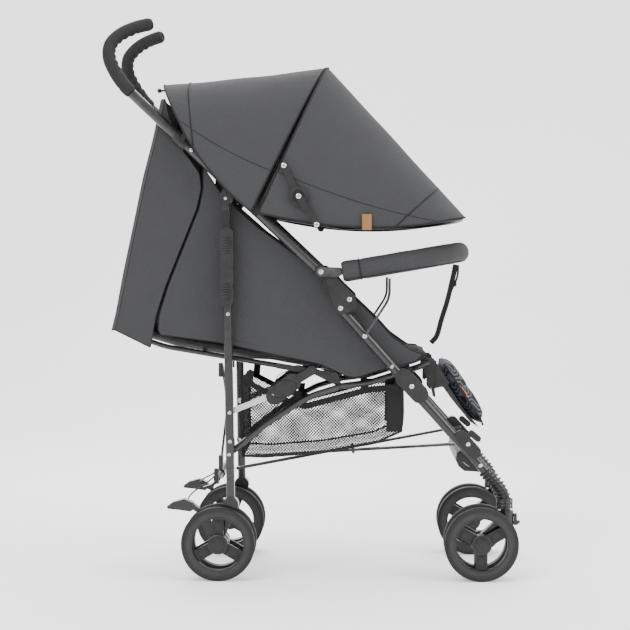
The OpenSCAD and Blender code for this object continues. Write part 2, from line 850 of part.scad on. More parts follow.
swivel_lock(1);  // swivel_lock_l
seat_rails();
seat_pad();
harness();
footrest_hinges();
backrest_frame();
backrest_pad();
rear_links();
lower_bars();
lock_levers();
lock_strips();
footrest_board();
footrest_pad();
mid_bow();
front_bow();
canopy_front();
strut_uppers();
strut_lowers();
basket();
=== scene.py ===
"""Umbrella-fold stroller: cloth, foam, wheels and finishes built round the fixed frame."""

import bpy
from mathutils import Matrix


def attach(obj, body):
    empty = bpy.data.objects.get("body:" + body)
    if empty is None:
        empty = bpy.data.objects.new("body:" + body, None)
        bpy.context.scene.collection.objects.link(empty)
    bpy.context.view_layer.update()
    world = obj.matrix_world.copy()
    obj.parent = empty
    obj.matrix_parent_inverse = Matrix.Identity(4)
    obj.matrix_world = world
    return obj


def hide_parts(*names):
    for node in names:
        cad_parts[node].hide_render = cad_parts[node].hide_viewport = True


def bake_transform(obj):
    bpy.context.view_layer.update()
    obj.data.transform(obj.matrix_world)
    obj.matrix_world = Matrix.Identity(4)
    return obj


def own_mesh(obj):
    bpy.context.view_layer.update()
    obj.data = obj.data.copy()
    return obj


bl_info = {
    "name": "Umbrella-fold stroller",
    "version": (1, 0, 0),
    "blender": (4, 5, 0),
    "location": "3D View > Sidebar > Stroller",
    "description": "Builds the soft goods, trims and finishes of an umbrella-fold stroller",
    "category": "Object",
}

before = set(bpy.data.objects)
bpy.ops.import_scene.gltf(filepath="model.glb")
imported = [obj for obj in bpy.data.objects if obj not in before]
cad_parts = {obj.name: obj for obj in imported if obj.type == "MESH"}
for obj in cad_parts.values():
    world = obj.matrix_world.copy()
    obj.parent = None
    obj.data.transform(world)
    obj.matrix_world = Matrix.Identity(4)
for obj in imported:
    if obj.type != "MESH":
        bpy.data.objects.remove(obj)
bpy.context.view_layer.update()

import math

import bmesh
import bpy
import numpy as np
from mathutils import Vector

MM = 0.001

# Side view points in millimetres, [forward, up], and distances from the middle
HALF_TRACK = 194
TUBE_TOP = (-340, 924)
TUBE_END = (78, 529)
CASTER_X = 371
TWIN_OFFSET = 32
SPRING_FOOT = 134.8
SPRING_RISE = 18.6
SPRING_RADIUS = 15.2
FRONT_AXLE = (324, 70)
REAR_AXLE = (-174.5, 70)
SEAT_HALF = 143
PANEL_Y = 177.2
CURTAIN_Y = 179.5
BACK_DIR = (-0.9781, 0.2079)
CANOPY_HALF = 218
REAR_HEM = ((-238, 846), (-186, 756), (-112, 699))
REAR_CROWN = ((-287, 950), (-130, 975), (28, 985))
FRONT_HEM = ((-98, 697), (70, 655), (222, 676))
FRONT_CROWN = ((32, 985), (172, 846), (300, 691))

# Material numbers of the trims
STEEL, BLACK, WEBBING, GLOSSY = range(4)

M = {}


# ---- small maths ----

def mix(a, b, u):
    """Point at share u of the way from a to b"""
    return tuple(p + (q - p) * u for p, q in zip(a, b))


def power(v, e):
    """v to the power e with its sign kept, for rounded boxes"""
    return math.copysign(abs(v) ** e, v)


def along(points, count):
    """count points spaced evenly along a line of points"""
    p = np.array(points, float)
    run = np.concatenate([[0], np.cumsum(np.linalg.norm(np.diff(p, axis=0), axis=1))])
    at = np.linspace(0, run[-1], count)
    return [tuple(np.interp(t, run, p[:, k]) for k in range(p.shape[1])) for t in at]


def smooth_line(points, per=6):
    """Catmull-Rom curve through points"""
    p = [np.array(q, float) for q in points]
    p = [2 * p[0] - p[1]] + p + [2 * p[-1] - p[-2]]
    out = []
    for i in range(1, len(p) - 2):
        a, b, c, d = p[i - 1], p[i], p[i + 1], p[i + 2]
        for k in range(per):
            t = k / per
            out.append(tuple(0.5 * (2 * b + (c - a) * t + (2 * a - 5 * b + 4 * c - d) * t * t
                                    + (3 * b - a - 3 * c + d) * t ** 3)))
    out.append(tuple(p[-2]))
    return out


def ripple(x, y, seed=0.0):
    """Soft uneven wave from -1 to 1"""
    return 0.5 * math.sin(x * 1.7 + 2.1 * math.sin(y * 0.9 + seed)) + \
        0.5 * math.sin(y * 2.3 + 1.3 * math.sin(x * 1.1 - seed))


class Shape:
    """Collects faces in millimetres, each with a material number, and makes one mesh of them."""

    def __init__(self):
        self.verts = []
        self.faces = []
        self.mats = []

    def face(self, ids, mat=0):
        self.faces.append(ids)
        self.mats.append(mat)

    def grid(self, rows, mat=0, wrap=False, flip=False):
        n = len(rows[0])
        base = len(self.verts)
        for r in rows:
            self.verts.extend(r)
        for i in range(len(rows) - 1):
            for j in range(n if wrap else n - 1):
                k = (j + 1) % n
                f = [base + i * n + j, base + i * n + k, base + (i + 1) * n + k, base + (i + 1) * n + j]
                self.face(f[::-1] if flip else f, mat)
        return base

    def tube(self, path, radius, n=10, mat=0, ends=True, key=(0, 1, 0), shape=None):
        """Round tube along path; radius is a number or a function of the share along it"""
        p = [np.array(q, float) for q in path]
        rows = []
        for i in range(len(p)):
            d = p[min(i + 1, len(p) - 1)] - p[max(i - 1, 0)]
            d = d / (np.linalg.norm(d) or 1)
            u = np.cross(d, key)
            u = u / (np.linalg.norm(u) or 1)
            v = np.cross(u, d)
            share = i / (len(p) - 1)
            r = radius(share) if callable(radius) else radius
            ring = []
            for j in range(n):
                a = 2 * math.pi * j / n
                k = shape(share, a) if shape else 1
                ring.append(tuple(p[i] + r * k * (math.cos(a) * u + math.sin(a) * v)))
            rows.append(ring)
        base = self.grid(rows, mat, wrap=True, flip=True)
        if ends:
            self.face([base + j for j in range(n)][::-1], mat)
            last = base + (len(rows) - 1) * n
            self.face([last + j for j in range(n)], mat)

    def ribbon(self, path, width, thick, across, mat=0):
        """Flat strap along path; across is its width direction"""
        a = np.array(across, float)
        rows = []
        p = [np.array(q, float) for q in path]
        for i in range(len(p)):
            d = p[min(i + 1, len(p) - 1)] - p[max(i - 1, 0)]
            up = np.cross(d, a)
            up = up / (np.linalg.norm(up) or 1)
            ring = []
            for s, t in ((-1, -1), (-0.92, -1), (0.92, -1), (1, -1), (1, 1), (0.92, 1), (-0.92, 1), (-1, 1)):
                ring.append(tuple(p[i] + a * s * width / 2 + up * t * thick / 2))
            rows.append(ring)
        base = self.grid(rows, mat, wrap=True)
        self.face([base + j for j in range(8)], mat)
        last = base + (len(rows) - 1) * 8
        self.face([last + j for j in range(8)][::-1], mat)

    def lathe(self, centre, axis, profile, n=32, mat=0):
        """Turned shape: profile is a list of (distance along axis, radius)"""
        ax = np.array(axis, float)
        u = np.cross(ax, (0.31, 0.2, 0.93))
        u = u / np.linalg.norm(u)
        v = np.cross(ax, u)
        rows = []
        for h, r in profile:
            rows.append([tuple(np.array(centre) + ax * h + max(r, 0.01)
                               * (math.cos(2 * math.pi * j / n) * u + math.sin(2 * math.pi * j / n) * v))
                         for j in range(n)])
        base = self.grid(rows, mat, wrap=True)
        self.face([base + j for j in range(n)][::-1], mat)
        last = base + (len(rows) - 1) * n
        self.face([last + j for j in range(n)], mat)

    def sheet(self, rows, thick, front=0, back=0):
        """Cloth of an even thickness with rows as its outer face; returns its flat area in square metres"""
        g = np.array(rows, float)
        du = np.gradient(g, axis=0)
        dv = np.gradient(g, axis=1)
        n = np.cross(du, dv)
        n = n / np.maximum(np.linalg.norm(n, axis=2, keepdims=True), 1e-9)
        inner = g - n * thick
        h, w = g.shape[:2]
        a = self.grid([[tuple(q) for q in r] for r in g], front)
        b = self.grid([[tuple(q) for q in r] for r in inner], back, flip=True)
        edge = [(0, j) for j in range(w)] + [(i, w - 1) for i in range(1, h)]
        edge += [(h - 1, j) for j in range(w - 2, -1, -1)] + [(i, 0) for i in range(h - 2, -1, -1)]
        for (i, j), (k, m) in zip(edge, edge[1:]):
            self.face([a + i * w + j, b + i * w + j, b + k * w + m, a + k * w + m], front)
        cell = np.linalg.norm(np.cross(g[1:, :-1] - g[:-1, :-1], g[:-1, 1:] - g[:-1, :-1]), axis=2)
        return float(cell.sum()) * 1e-6

    def build(self, name, materials, smooth=True):
        """Object with a mesh of all the faces, in metres"""
        mesh = bpy.data.meshes.new(name)
        mesh.from_pydata([tuple(c * MM for c in v) for v in self.verts], [], self.faces)
        for m in materials:
            mesh.materials.append(m)
        mesh.polygons.foreach_set("material_index", self.mats)
        mesh.polygons.foreach_set("use_smooth", [smooth] * len(self.faces))
        bm = bmesh.new()
        bm.from_mesh(mesh)
        bmesh.ops.remove_doubles(bm, verts=bm.verts, dist=1e-6)
        bmesh.ops.dissolve_degenerate(bm, edges=bm.edges, dist=1e-7)
        bmesh.ops.recalc_face_normals(bm, faces=bm.faces)
        bm.to_mesh(mesh)
        bm.free()
        if smooth:
            mesh.set_sharp_from_angle(angle=math.radians(42))
        obj = bpy.data.objects.new(name, mesh)
        bpy.context.collection.objects.link(obj)
        return obj


def place(obj, body, *nodes, slot=None):
    """Puts a piece on a body of the frame, in the place of the frame's own nodes"""
    if body:
        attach(obj, body)
    if nodes:
        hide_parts(*nodes)
    return obj


# ---- shader node groups ----

def new_group(name, inputs, outputs):
    g = bpy.data.node_groups.new(name, "ShaderNodeTree")
    for label, kind, value in inputs:
        s = g.interface.new_socket(label, in_out="INPUT", socket_type="NodeSocket" + kind)
        s.default_value = value
    for label, kind in outputs:
        g.interface.new_socket(label, in_out="OUTPUT", socket_type="NodeSocket" + kind)
    return g, g.nodes.new("NodeGroupInput"), g.nodes.new("NodeGroupOutput")


def math_node(tree, op, a, b=None):
    n = tree.nodes.new("ShaderNodeMath")
    n.operation = op
    for i, v in enumerate((a, b)):
        if v is None:
            continue
        if isinstance(v, (int, float)):
            n.inputs[i].default_value = v
        else:
            tree.links.new(v, n.inputs[i])
    return n.outputs[0]


def noise(tree, coord, scale, detail=3.0):
    n = tree.nodes.new("ShaderNodeTexNoise")
    n.inputs["Detail"].default_value = detail
    tree.links.new(coord, n.inputs["Vector"])
    if isinstance(scale, (int, float)):
        n.inputs["Scale"].default_value = scale
    else:
        tree.links.new(scale, n.inputs["Scale"])
    return n.outputs["Fac"]


def ramp(tree, value, low, high):
    n = tree.nodes.new("ShaderNodeMapRange")
    n.inputs["From Min"].default_value = low
    n.inputs["From Max"].default_value = high
    tree.links.new(value, n.inputs["Value"])
    return n.outputs["Result"]


def colour_mix(tree, fac, a, b):
    n = tree.nodes.new("ShaderNodeMix")
    n.data_type = "RGBA"
    tree.links.new(fac, n.inputs[0])
    for socket, v in ((n.inputs[6], a), (n.inputs[7], b)):
        if isinstance(v, tuple):
            socket.default_value = v
        else:
            tree.links.new(v, socket)
    return n.outputs[2]


def axes_of(tree):
    c = tree.nodes.new("ShaderNodeTexCoord").outputs["Object"]
    s = tree.nodes.new("ShaderNodeSeparateXYZ")
    tree.links.new(c, s.inputs[0])
    return c, s.outputs[0], s.outputs[1], s.outputs[2]


def weave_group():
    """Plain woven cloth: heathered yarns in two colours, with crossing threads as height"""
    g, gin, gout = new_group(
        "Woven yarns",
        [("Yarn Colour", "Color", (0.1, 0.1, 0.1, 1)), ("Fleck Colour", "Color", (0.2, 0.2, 0.2, 1)),
         ("Threads per Metre", "Float", 900.0), ("Fleck", "Float", 0.5)],
        [("Colour", "Color"), ("Height", "Float"), ("Roughness", "Float")])
    c, x, y, z = axes_of(g)
    turn = math_node(g, "MULTIPLY", gin.outputs["Threads per Metre"], 2 * math.pi)
    warp = math_node(g, "SINE", math_node(g, "MULTIPLY", math_node(g, "ADD", x, y), turn))
    weft = math_node(g, "SINE", math_node(g, "MULTIPLY", math_node(g, "SUBTRACT", z, math_node(
        g, "MULTIPLY", y, 0.4)), turn))
    cross = math_node(g, "MULTIPLY", warp, weft)
    flecks = noise(g, c, gin.outputs["Threads per Metre"], 2.0)
    broad = noise(g, c, 22.0, 3.0)
    shade = math_node(g, "ADD", math_node(g, "MULTIPLY", ramp(g, flecks, 0.35, 0.68), 0.75),
                      math_node(g, "MULTIPLY", broad, 0.25))
    shade = math_node(g, "MULTIPLY", shade, gin.outputs["Fleck"])
    col = colour_mix(g, shade, gin.outputs["Yarn Colour"], gin.outputs["Fleck Colour"])
    g.links.new(col, gout.inputs["Colour"])
    height = math_node(g, "ADD", math_node(g, "MULTIPLY", cross, 0.5), math_node(g, "MULTIPLY", flecks, 0.6))
    g.links.new(height, gout.inputs["Height"])
    g.links.new(math_node(g, "ADD", math_node(g, "MULTIPLY", flecks, 0.15), 0.78), gout.inputs["Roughness"])
    return g


def moulding_group():
    """Fine surface grain, rubbed edges and a little dust where faces point up"""
    g, gin, gout = new_group(
        "Grain and wear",
        [("Base Colour", "Color", (0.03, 0.03, 0.03, 1)), ("Worn Colour", "Color", (0.1, 0.1, 0.1, 1)),
         ("Grain per Metre", "Float", 1500.0), ("Edge Wear", "Float", 0.4), ("Dust", "Float", 0.15),
         ("Roughness", "Float", 0.45)],
        [("Colour", "Color"), ("Height", "Float"), ("Roughness", "Float")])
    c = axes_of(g)[0]
    geo = g.nodes.new("ShaderNodeNewGeometry")
    grain = noise(g, c, gin.outputs["Grain per Metre"], 2.0)
    patch = noise(g, c, 60.0, 4.0)
    edge = ramp(g, geo.outputs["Pointiness"], 0.52, 0.6)
    edge = math_node(g, "MULTIPLY", math_node(g, "MULTIPLY", edge, patch), gin.outputs["Edge Wear"])
    split = g.nodes.new("ShaderNodeSeparateXYZ")
    g.links.new(geo.outputs["Normal"], split.inputs[0])
    dust = math_node(g, "MULTIPLY", ramp(g, split.outputs[2], 0.3, 1.0), ramp(g, patch, 0.4, 0.8))
    dust = math_node(g, "MULTIPLY", dust, gin.outputs["Dust"])
    tint = colour_mix(g, edge, gin.outputs["Base Colour"], gin.outputs["Worn Colour"])
    tint = colour_mix(g, dust, tint, (0.23, 0.22, 0.2, 1))
    g.links.new(tint, gout.inputs["Colour"])
    g.links.new(grain, gout.inputs["Height"])
    rough = math_node(g, "ADD", gin.outputs["Roughness"], math_node(g, "MULTIPLY", math_node(
        g, "SUBTRACT", patch, 0.5), 0.22))
    g.links.new(math_node(g, "ADD", rough, math_node(g, "MULTIPLY", dust, 0.5)), gout.inputs["Roughness"])
    return g


def net_group():
    """Knitted net: 1 on the threads and 0 in the holes"""
    g, gin, gout = new_group(
        "Knitted net", [("Holes per Metre", "Float", 170.0), ("Thread", "Float", 0.34)],
        [("Mask", "Float"), ("Height", "Float")])
    _, x, y, z = axes_of(g)
    turn = math_node(g, "MULTIPLY", gin.outputs["Holes per Metre"], math.pi)
    a = math_node(g, "ADD", math_node(g, "ADD", x, y), z)
    b = math_node(g, "SUBTRACT", math_node(g, "SUBTRACT", x, y), z)
    waves = [math_node(g, "ABSOLUTE", math_node(g, "SINE", math_node(g, "MULTIPLY", v, turn)))
             for v in (a, b)]
    low = math_node(g, "MINIMUM", waves[0], waves[1])
    mask = math_node(g, "LESS_THAN", low, gin.outputs["Thread"])
    g.links.new(mask, gout.inputs["Mask"])
    g.links.new(math_node(g, "SUBTRACT", 1.0, low), gout.inputs["Height"])
    return g


def chevron_group():
    """Zigzag bands in two colours that run across the cloth"""
    g, gin, gout = new_group(
        "Chevron bands",
        [("Dark Colour", "Color", (0.009, 0.009, 0.01, 1)), ("Light Colour", "Color", (0.085, 0.1, 0.125, 1)),
         ("Bands per Metre", "Float", 90.0), ("Zigzag", "Float", 0.012)],
        [("Colour", "Color"), ("Height", "Float")])
    c, x, y, z = axes_of(g)
    side_step = math_node(g, "PINGPONG", y, gin.outputs["Zigzag"])
    lift = math_node(g, "PINGPONG", x, gin.outputs["Zigzag"])
    run = math_node(g, "ADD", z, math_node(g, "ADD", side_step, lift))
    wave = math_node(g, "SINE", math_node(g, "MULTIPLY", math_node(
        g, "MULTIPLY", run, gin.outputs["Bands per Metre"]), 2 * math.pi))
    mask = ramp(g, wave, -0.25, 0.25)
    fleck = noise(g, c, 900.0, 2.0)
    mask = math_node(g, "MULTIPLY", mask, math_node(g, "ADD", math_node(g, "MULTIPLY", fleck, 0.9), 0.4))
    g.links.new(colour_mix(g, mask, gin.outputs["Dark Colour"], gin.outputs["Light Colour"]),
                gout.inputs["Colour"])
    g.links.new(math_node(g, "ADD", mask, fleck), gout.inputs["Height"])
    return g


GROUPS = {}


def material(name, group, values, bump=0.2, rough=None, metal=0.0, coat=0.0, sheen=0.0, specular=0.3,
             alpha=False):
    """Material whose colour, roughness and bump come from a group"""
    m = bpy.data.materials.new(name)
    m.use_nodes = True
    t = m.node_tree
    shader = t.nodes["Principled BSDF"]
    g = t.nodes.new("ShaderNodeGroup")
    g.node_tree = GROUPS[group]
    for k, v in values.items():
        g.inputs[k].default_value = v
    if "Colour" in g.outputs:
        t.links.new(g.outputs["Colour"], shader.inputs["Base Color"])
    if "Roughness" in g.outputs and rough is None:
        t.links.new(g.outputs["Roughness"], shader.inputs["Roughness"])
    else:
        shader.inputs["Roughness"].default_value = 0.8 if rough is None else rough
    b = t.nodes.new("ShaderNodeBump")
    b.inputs["Strength"].default_value = bump
    b.inputs["Distance"].default_value = 0.0004
    t.links.new(g.outputs["Height"], b.inputs["Height"])
    t.links.new(b.outputs["Normal"], shader.inputs["Normal"])
    if alpha:
        t.links.new(g.outputs["Mask"], shader.inputs["Alpha"])
        shader.inputs["Base Color"].default_value = (0.018, 0.018, 0.019, 1)
    shader.inputs["Metallic"].default_value = metal
    shader.inputs["Specular IOR Level"].default_value = specular
    shader.inputs["Coat Weight"].default_value = coat
    shader.inputs["Sheen Weight"].default_value = sheen
    M[name] = m
    return m


def rgb(value):
    return (value[0], value[1], value[2], 1.0)


def make_materials(s):
    GROUPS["weave"] = weave_group()
    GROUPS["moulding"] = moulding_group()
    GROUPS["net"] = net_group()
    GROUPS["chevron"] = chevron_group()

    def cloth(name, a, b, per=900.0, fleck=0.8, bump=0.35, sheen=0.0):
        material(name, "weave", {"Yarn Colour": a, "Fleck Colour": b, "Threads per Metre": per,
                                 "Fleck": fleck}, bump, sheen=sheen)

    def hard(name, a, b, rough, wear=0.4, grain=1500.0, bump=0.12, metal=0.0, coat=0.0, dust=0.02):
        material(name, "moulding", {"Base Colour": a, "Worn Colour": b, "Grain per Metre": grain,
                                    "Edge Wear": wear, "Dust": dust, "Roughness": rough},
                 bump, metal=metal, coat=coat)

    grey = rgb(s.cloth_colour)
    light = tuple(min(1, c * 1.7) for c in grey[:3]) + (1,)
    cloth("canopy cloth", grey, light)
    cloth("side cloth", tuple(c * 0.9 for c in grey[:3]) + (1,), light, 1000.0)
    cloth("pad cloth", tuple(c * 0.85 for c in grey[:3]) + (1,), light, 700.0, 0.9, 0.5)
    cloth("black lining", (0.006, 0.006, 0.0065, 1), (0.014, 0.014, 0.015, 1), 1200.0, 0.5)
    cloth("piping", (0.008, 0.008, 0.0085, 1), (0.02, 0.02, 0.021, 1), 1600.0, 0.5, 0.5)
    cloth("webbing", (0.007, 0.007, 0.0075, 1), (0.024, 0.024, 0.025, 1), 550.0, 0.7, 0.8)
    cloth("tan leather", rgb(s.tag_colour), (0.27, 0.14, 0.06, 1), 350.0, 0.5, 0.3, 0.0)
    cloth("orange tag", (0.62, 0.2, 0.04, 1), (0.8, 0.34, 0.1, 1), 1200.0, 0.4, 0.3, 0.0)
    material("chevron cloth", "chevron", {}, 0.5)
    material("basket net", "net", {}, 0.5, rough=0.85, alpha=True)
    dark = rgb(s.plastic_colour)
    hard("black plastic", dark, (0.05, 0.05, 0.052, 1), 0.42)
    hard("glossy plastic", dark, (0.045, 0.045, 0.045, 1), 0.26, 0.3, 900.0, 0.05, coat=0.2)
    hard("black tube", (0.007, 0.007, 0.0078, 1), (0.08, 0.08, 0.08, 1), 0.3, 0.3, 700.0, 0.04, coat=0.4)
    hard("foam grip", (0.01, 0.01, 0.011, 1), (0.035, 0.035, 0.035, 1), 0.78, 0.3, 2600.0, 0.6, dust=0.02)
    hard("tyre foam", (0.011, 0.011, 0.012, 1), (0.05, 0.049, 0.047, 1), 0.7, 0.6, 1800.0, 0.35, dust=0.08)
    hard("wheel plastic", (0.012, 0.012, 0.013, 1), (0.06, 0.06, 0.06, 1), 0.36, 0.5, 1200.0, 0.1, dust=0.04)
    hard("bright steel", (0.62, 0.62, 0.61, 1), (0.85, 0.85, 0.84, 1), 0.24, 0.3, 500.0, 0.05, 1.0)
    hard("dark spring", (0.02, 0.02, 0.021, 1), (0.16, 0.16, 0.16, 1), 0.35, 0.6, 800.0, 0.1, 0.6)


# ---- padding by cloth simulation ----

def puff(obj, voxel=0.005, pressure=4.0, cap=0.008):
    """Fills a pad with air: remesh, inflate with Cloth, and keep every point within cap of its start"""
    bpy.context.view_layer.objects.active = obj
    obj.select_set(True)
    mod = obj.modifiers.new("Remesh", "REMESH")
    mod.mode = "VOXEL"
    mod.voxel_size = voxel
    bpy.ops.object.modifier_apply(modifier="Remesh")
    start = np.array([v.co for v in obj.data.vertices])
    sim = obj.modifiers.new("Cloth", "CLOTH")
    sim.settings.quality = 4
    sim.settings.mass = 0.15
    sim.settings.use_pressure = True
    sim.settings.uniform_pressure_force = pressure
    sim.settings.effector_weights.gravity = 0.0
    sim.settings.tension_stiffness = 12
    sim.settings.bending_stiffness = 0.6
    sim.collision_settings.use_collision = False
    scene = bpy.context.scene
    for f in range(1, 21):
        scene.frame_set(f)
    got = obj.evaluated_get(bpy.context.evaluated_depsgraph_get())
    end = np.array([v.co for v in got.data.vertices])
    obj.modifiers.remove(sim)
    scene.frame_set(1)
    step = end - start
    far = np.linalg.norm(step, axis=1, keepdims=True)
    step = step * np.minimum(1, cap / np.maximum(far, 1e-9))
    obj.data.vertices.foreach_set("co", (start + step).ravel())
    obj.data.update()
    obj.select_set(False)
    obj.data.polygons.foreach_set("use_smooth", [True] * len(obj.data.polygons))
    return obj


def sink(obj, depth_at):
    """Presses points of a pad in by depth_at(x, y, z) millimetres along its own normals"""
    normals = [v.normal.copy() for v in obj.data.vertices]
    for v, n in zip(obj.data.vertices, normals):
        x, y, z = (c / MM for c in v.co)
        v.co -= n * depth_at(x, y, z) * MM
    obj.data.update()


def pad_block(name, profile, half, material_name, round_by=0.82):
    """Pad with a side profile of (lower edge point, upper edge point) pairs, crowned across its width"""
    s = Shape()
    rows = []
    for low, high in profile:
        mid = mix(low, high, 0.5)
        ring = []
        for k in range(24):
            a = 2 * math.pi * k / 24
            w, h = power(math.cos(a), 0.32), power(math.sin(a), 0.6)
            p = mix(mid, high, h) if h > 0 else mix(mid, low, -h)
            ring.append((p[0], w * half * (1 - 0.02 * abs(h)), p[1]))
        rows.append(ring)

    def drawn_in(ring):
        centre = np.mean(ring, axis=0)
        return [tuple(centre + (np.array(q) - centre) * round_by) for q in ring]

    rows = [drawn_in(rows[0])] + rows + [drawn_in(rows[-1])]
    base = s.grid(rows, 0, wrap=True)
    s.face([base + j for j in range(24)][::-1])
    end = base + (len(rows) - 1) * 24
    s.face([end + j for j in range(24)])
    return s.build(name, [M[material_name]])


def channel(value, period, depth, width=5.0):
    """Depth of sewn channels that repeat every period"""
    d = period / 2 - abs((value / period) % 1 - 0.5) * period
    return depth * math.exp(-(d / width) ** 2)


def subdivide_once(pad):
    mod = pad.modifiers.new("Subdivision", "SUBSURF")
    mod.levels = 1
    mod.render_levels = 1


# ---- pieces ----

class StrollerSettings(bpy.types.PropertyGroup):
    """Sizes and colours of the cloth, foam and trims"""
    cloth_colour: bpy.props.FloatVectorProperty(
        name="Cloth colour", description="Yarn colour of the canopy, pads and side panels",
        subtype="COLOR", size=3, min=0, max=1, default=(0.026, 0.0262, 0.0275))
    plastic_colour: bpy.props.FloatVectorProperty(
        name="Plastic colour", description="Colour of the black mouldings",
        subtype="COLOR", size=3, min=0, max=1, default=(0.0045, 0.0045, 0.0048))
    tag_colour: bpy.props.FloatVectorProperty(
        name="Tag colour", description="Colour of the leather tag on the canopy",
        subtype="COLOR", size=3, min=0, max=1, default=(0.2, 0.095, 0.035))
    canopy_sag: bpy.props.FloatProperty(
        name="Canopy sag", description="How far the canopy hangs between its bows, in millimetres",
        default=6.0, min=0.0, max=15.0)
    grip_diameter: bpy.props.FloatProperty(
        name="Grip diameter", description="Outer diameter of the foam grips, in millimetres",
        default=26.0, min=22.0, max=30.0)
    bumper_diameter: bpy.props.FloatProperty(
        name="Bumper diameter", description="Outer diameter of the padded bumper bar, in millimetres",
        default=41.0, min=34.0, max=46.0)
    spring_turns: bpy.props.IntProperty(
        name="Spring turns", description="Turns of each front suspension spring",
        default=7, min=4, max=12)


class Builder:
    """Common part of the operators"""
    bl_options = {"REGISTER", "UNDO"}

    def execute(self, context):
        self.make(context.scene.stroller)
        return {"FINISHED"}


class STROLLER_OT_materials(Builder, bpy.types.Operator):
    """Make every cloth, plastic, foam and metal finish and put them on the frame's own parts"""
    bl_idname = "stroller.materials"
    bl_label = "Finishes"

    def make(self, s):
        make_materials(s)
        looks = {
            "black tube": ("handle_tube", "front_leg", "rear_leg", "seat_rails", "rear_links",
                           "backrest_frame", "lower_bars"),
            "bright steel": ("frame_rivets", "rear_axles", "rear_rivets", "lock_strips"),
            "dark spring": ("bumper_bar",),
            "tyre foam": ("rear_tyre", "front_tyre"),
            "wheel plastic": ("rear_rim", "front_rim"),
            "glossy plastic": ("fork", "swivel_lock", "brake_pedal", "fold_pedal", "axle_housing"),
        }
        for name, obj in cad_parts.items():
            look = "black plastic"
            for key, starts in looks.items():
                if name.startswith(starts):
                    look = key
            for i in range(max(1, len(obj.material_slots))):
                if not obj.material_slots:
                    obj.data.materials.append(M[look])
                obj.material_slots[i].material = M[look]


class STROLLER_OT_grips(Builder, bpy.types.Operator):
    """Foam grips with finger waves and open round ends"""
    bl_idname = "stroller.grips"
    bl_label = "Grips"

    def make(self, s):
        line = [(-341, 0, 925), (-357, 3, 943), (-374, 12, 968), (-386, 24, 996),
                (-384, 38, 1022), (-366, 52, 1042), (-340, 66, 1056), (-310, 80, 1065)]
        r = s.grip_diameter / 2

        for side, tag in ((-1, "r"), (1, "l")):
            shape = Shape()
            path = along(smooth_line([(x, side * (HALF_TRACK - y), z) for x, y, z in line], 8), 90)

            def wave(share, a, side=side):
                inner = max(0.0, -math.cos(a - 0.5 * side))
                bumps = math.sin(share * 2 * math.pi * 13) * 0.09 * inner * (0.15 < share < 0.86)
                end = 1 - 0.16 * max(0, 1 - share / 0.03) - 0.2 * max(0, (share - 0.975) / 0.025)
                ring = -0.06 * math.exp(-((share - 0.1) / 0.008) ** 2)
                return end + bumps + ring - 0.03

            shape.tube(path, r, 28, 0, shape=wave)
            tip = np.array(path[-1])
            axis = tip - np.array(path[-2])
            axis = axis / np.linalg.norm(axis)
            plug = [(0, r * 0.72), (2.6, r * 0.72), (3.2, r * 0.62), (3.2, r * 0.4), (1.8, r * 0.36),
                    (1.8, 0)]
            shape.lathe(tip - axis * 2, axis, plug, 28, 1)
            obj = shape.build("grip_foam_" + tag, [M["foam grip"], M["black plastic"]])
            place(obj, "frame", *(("grips",) if side < 0 else ()), slot="foam_grip")


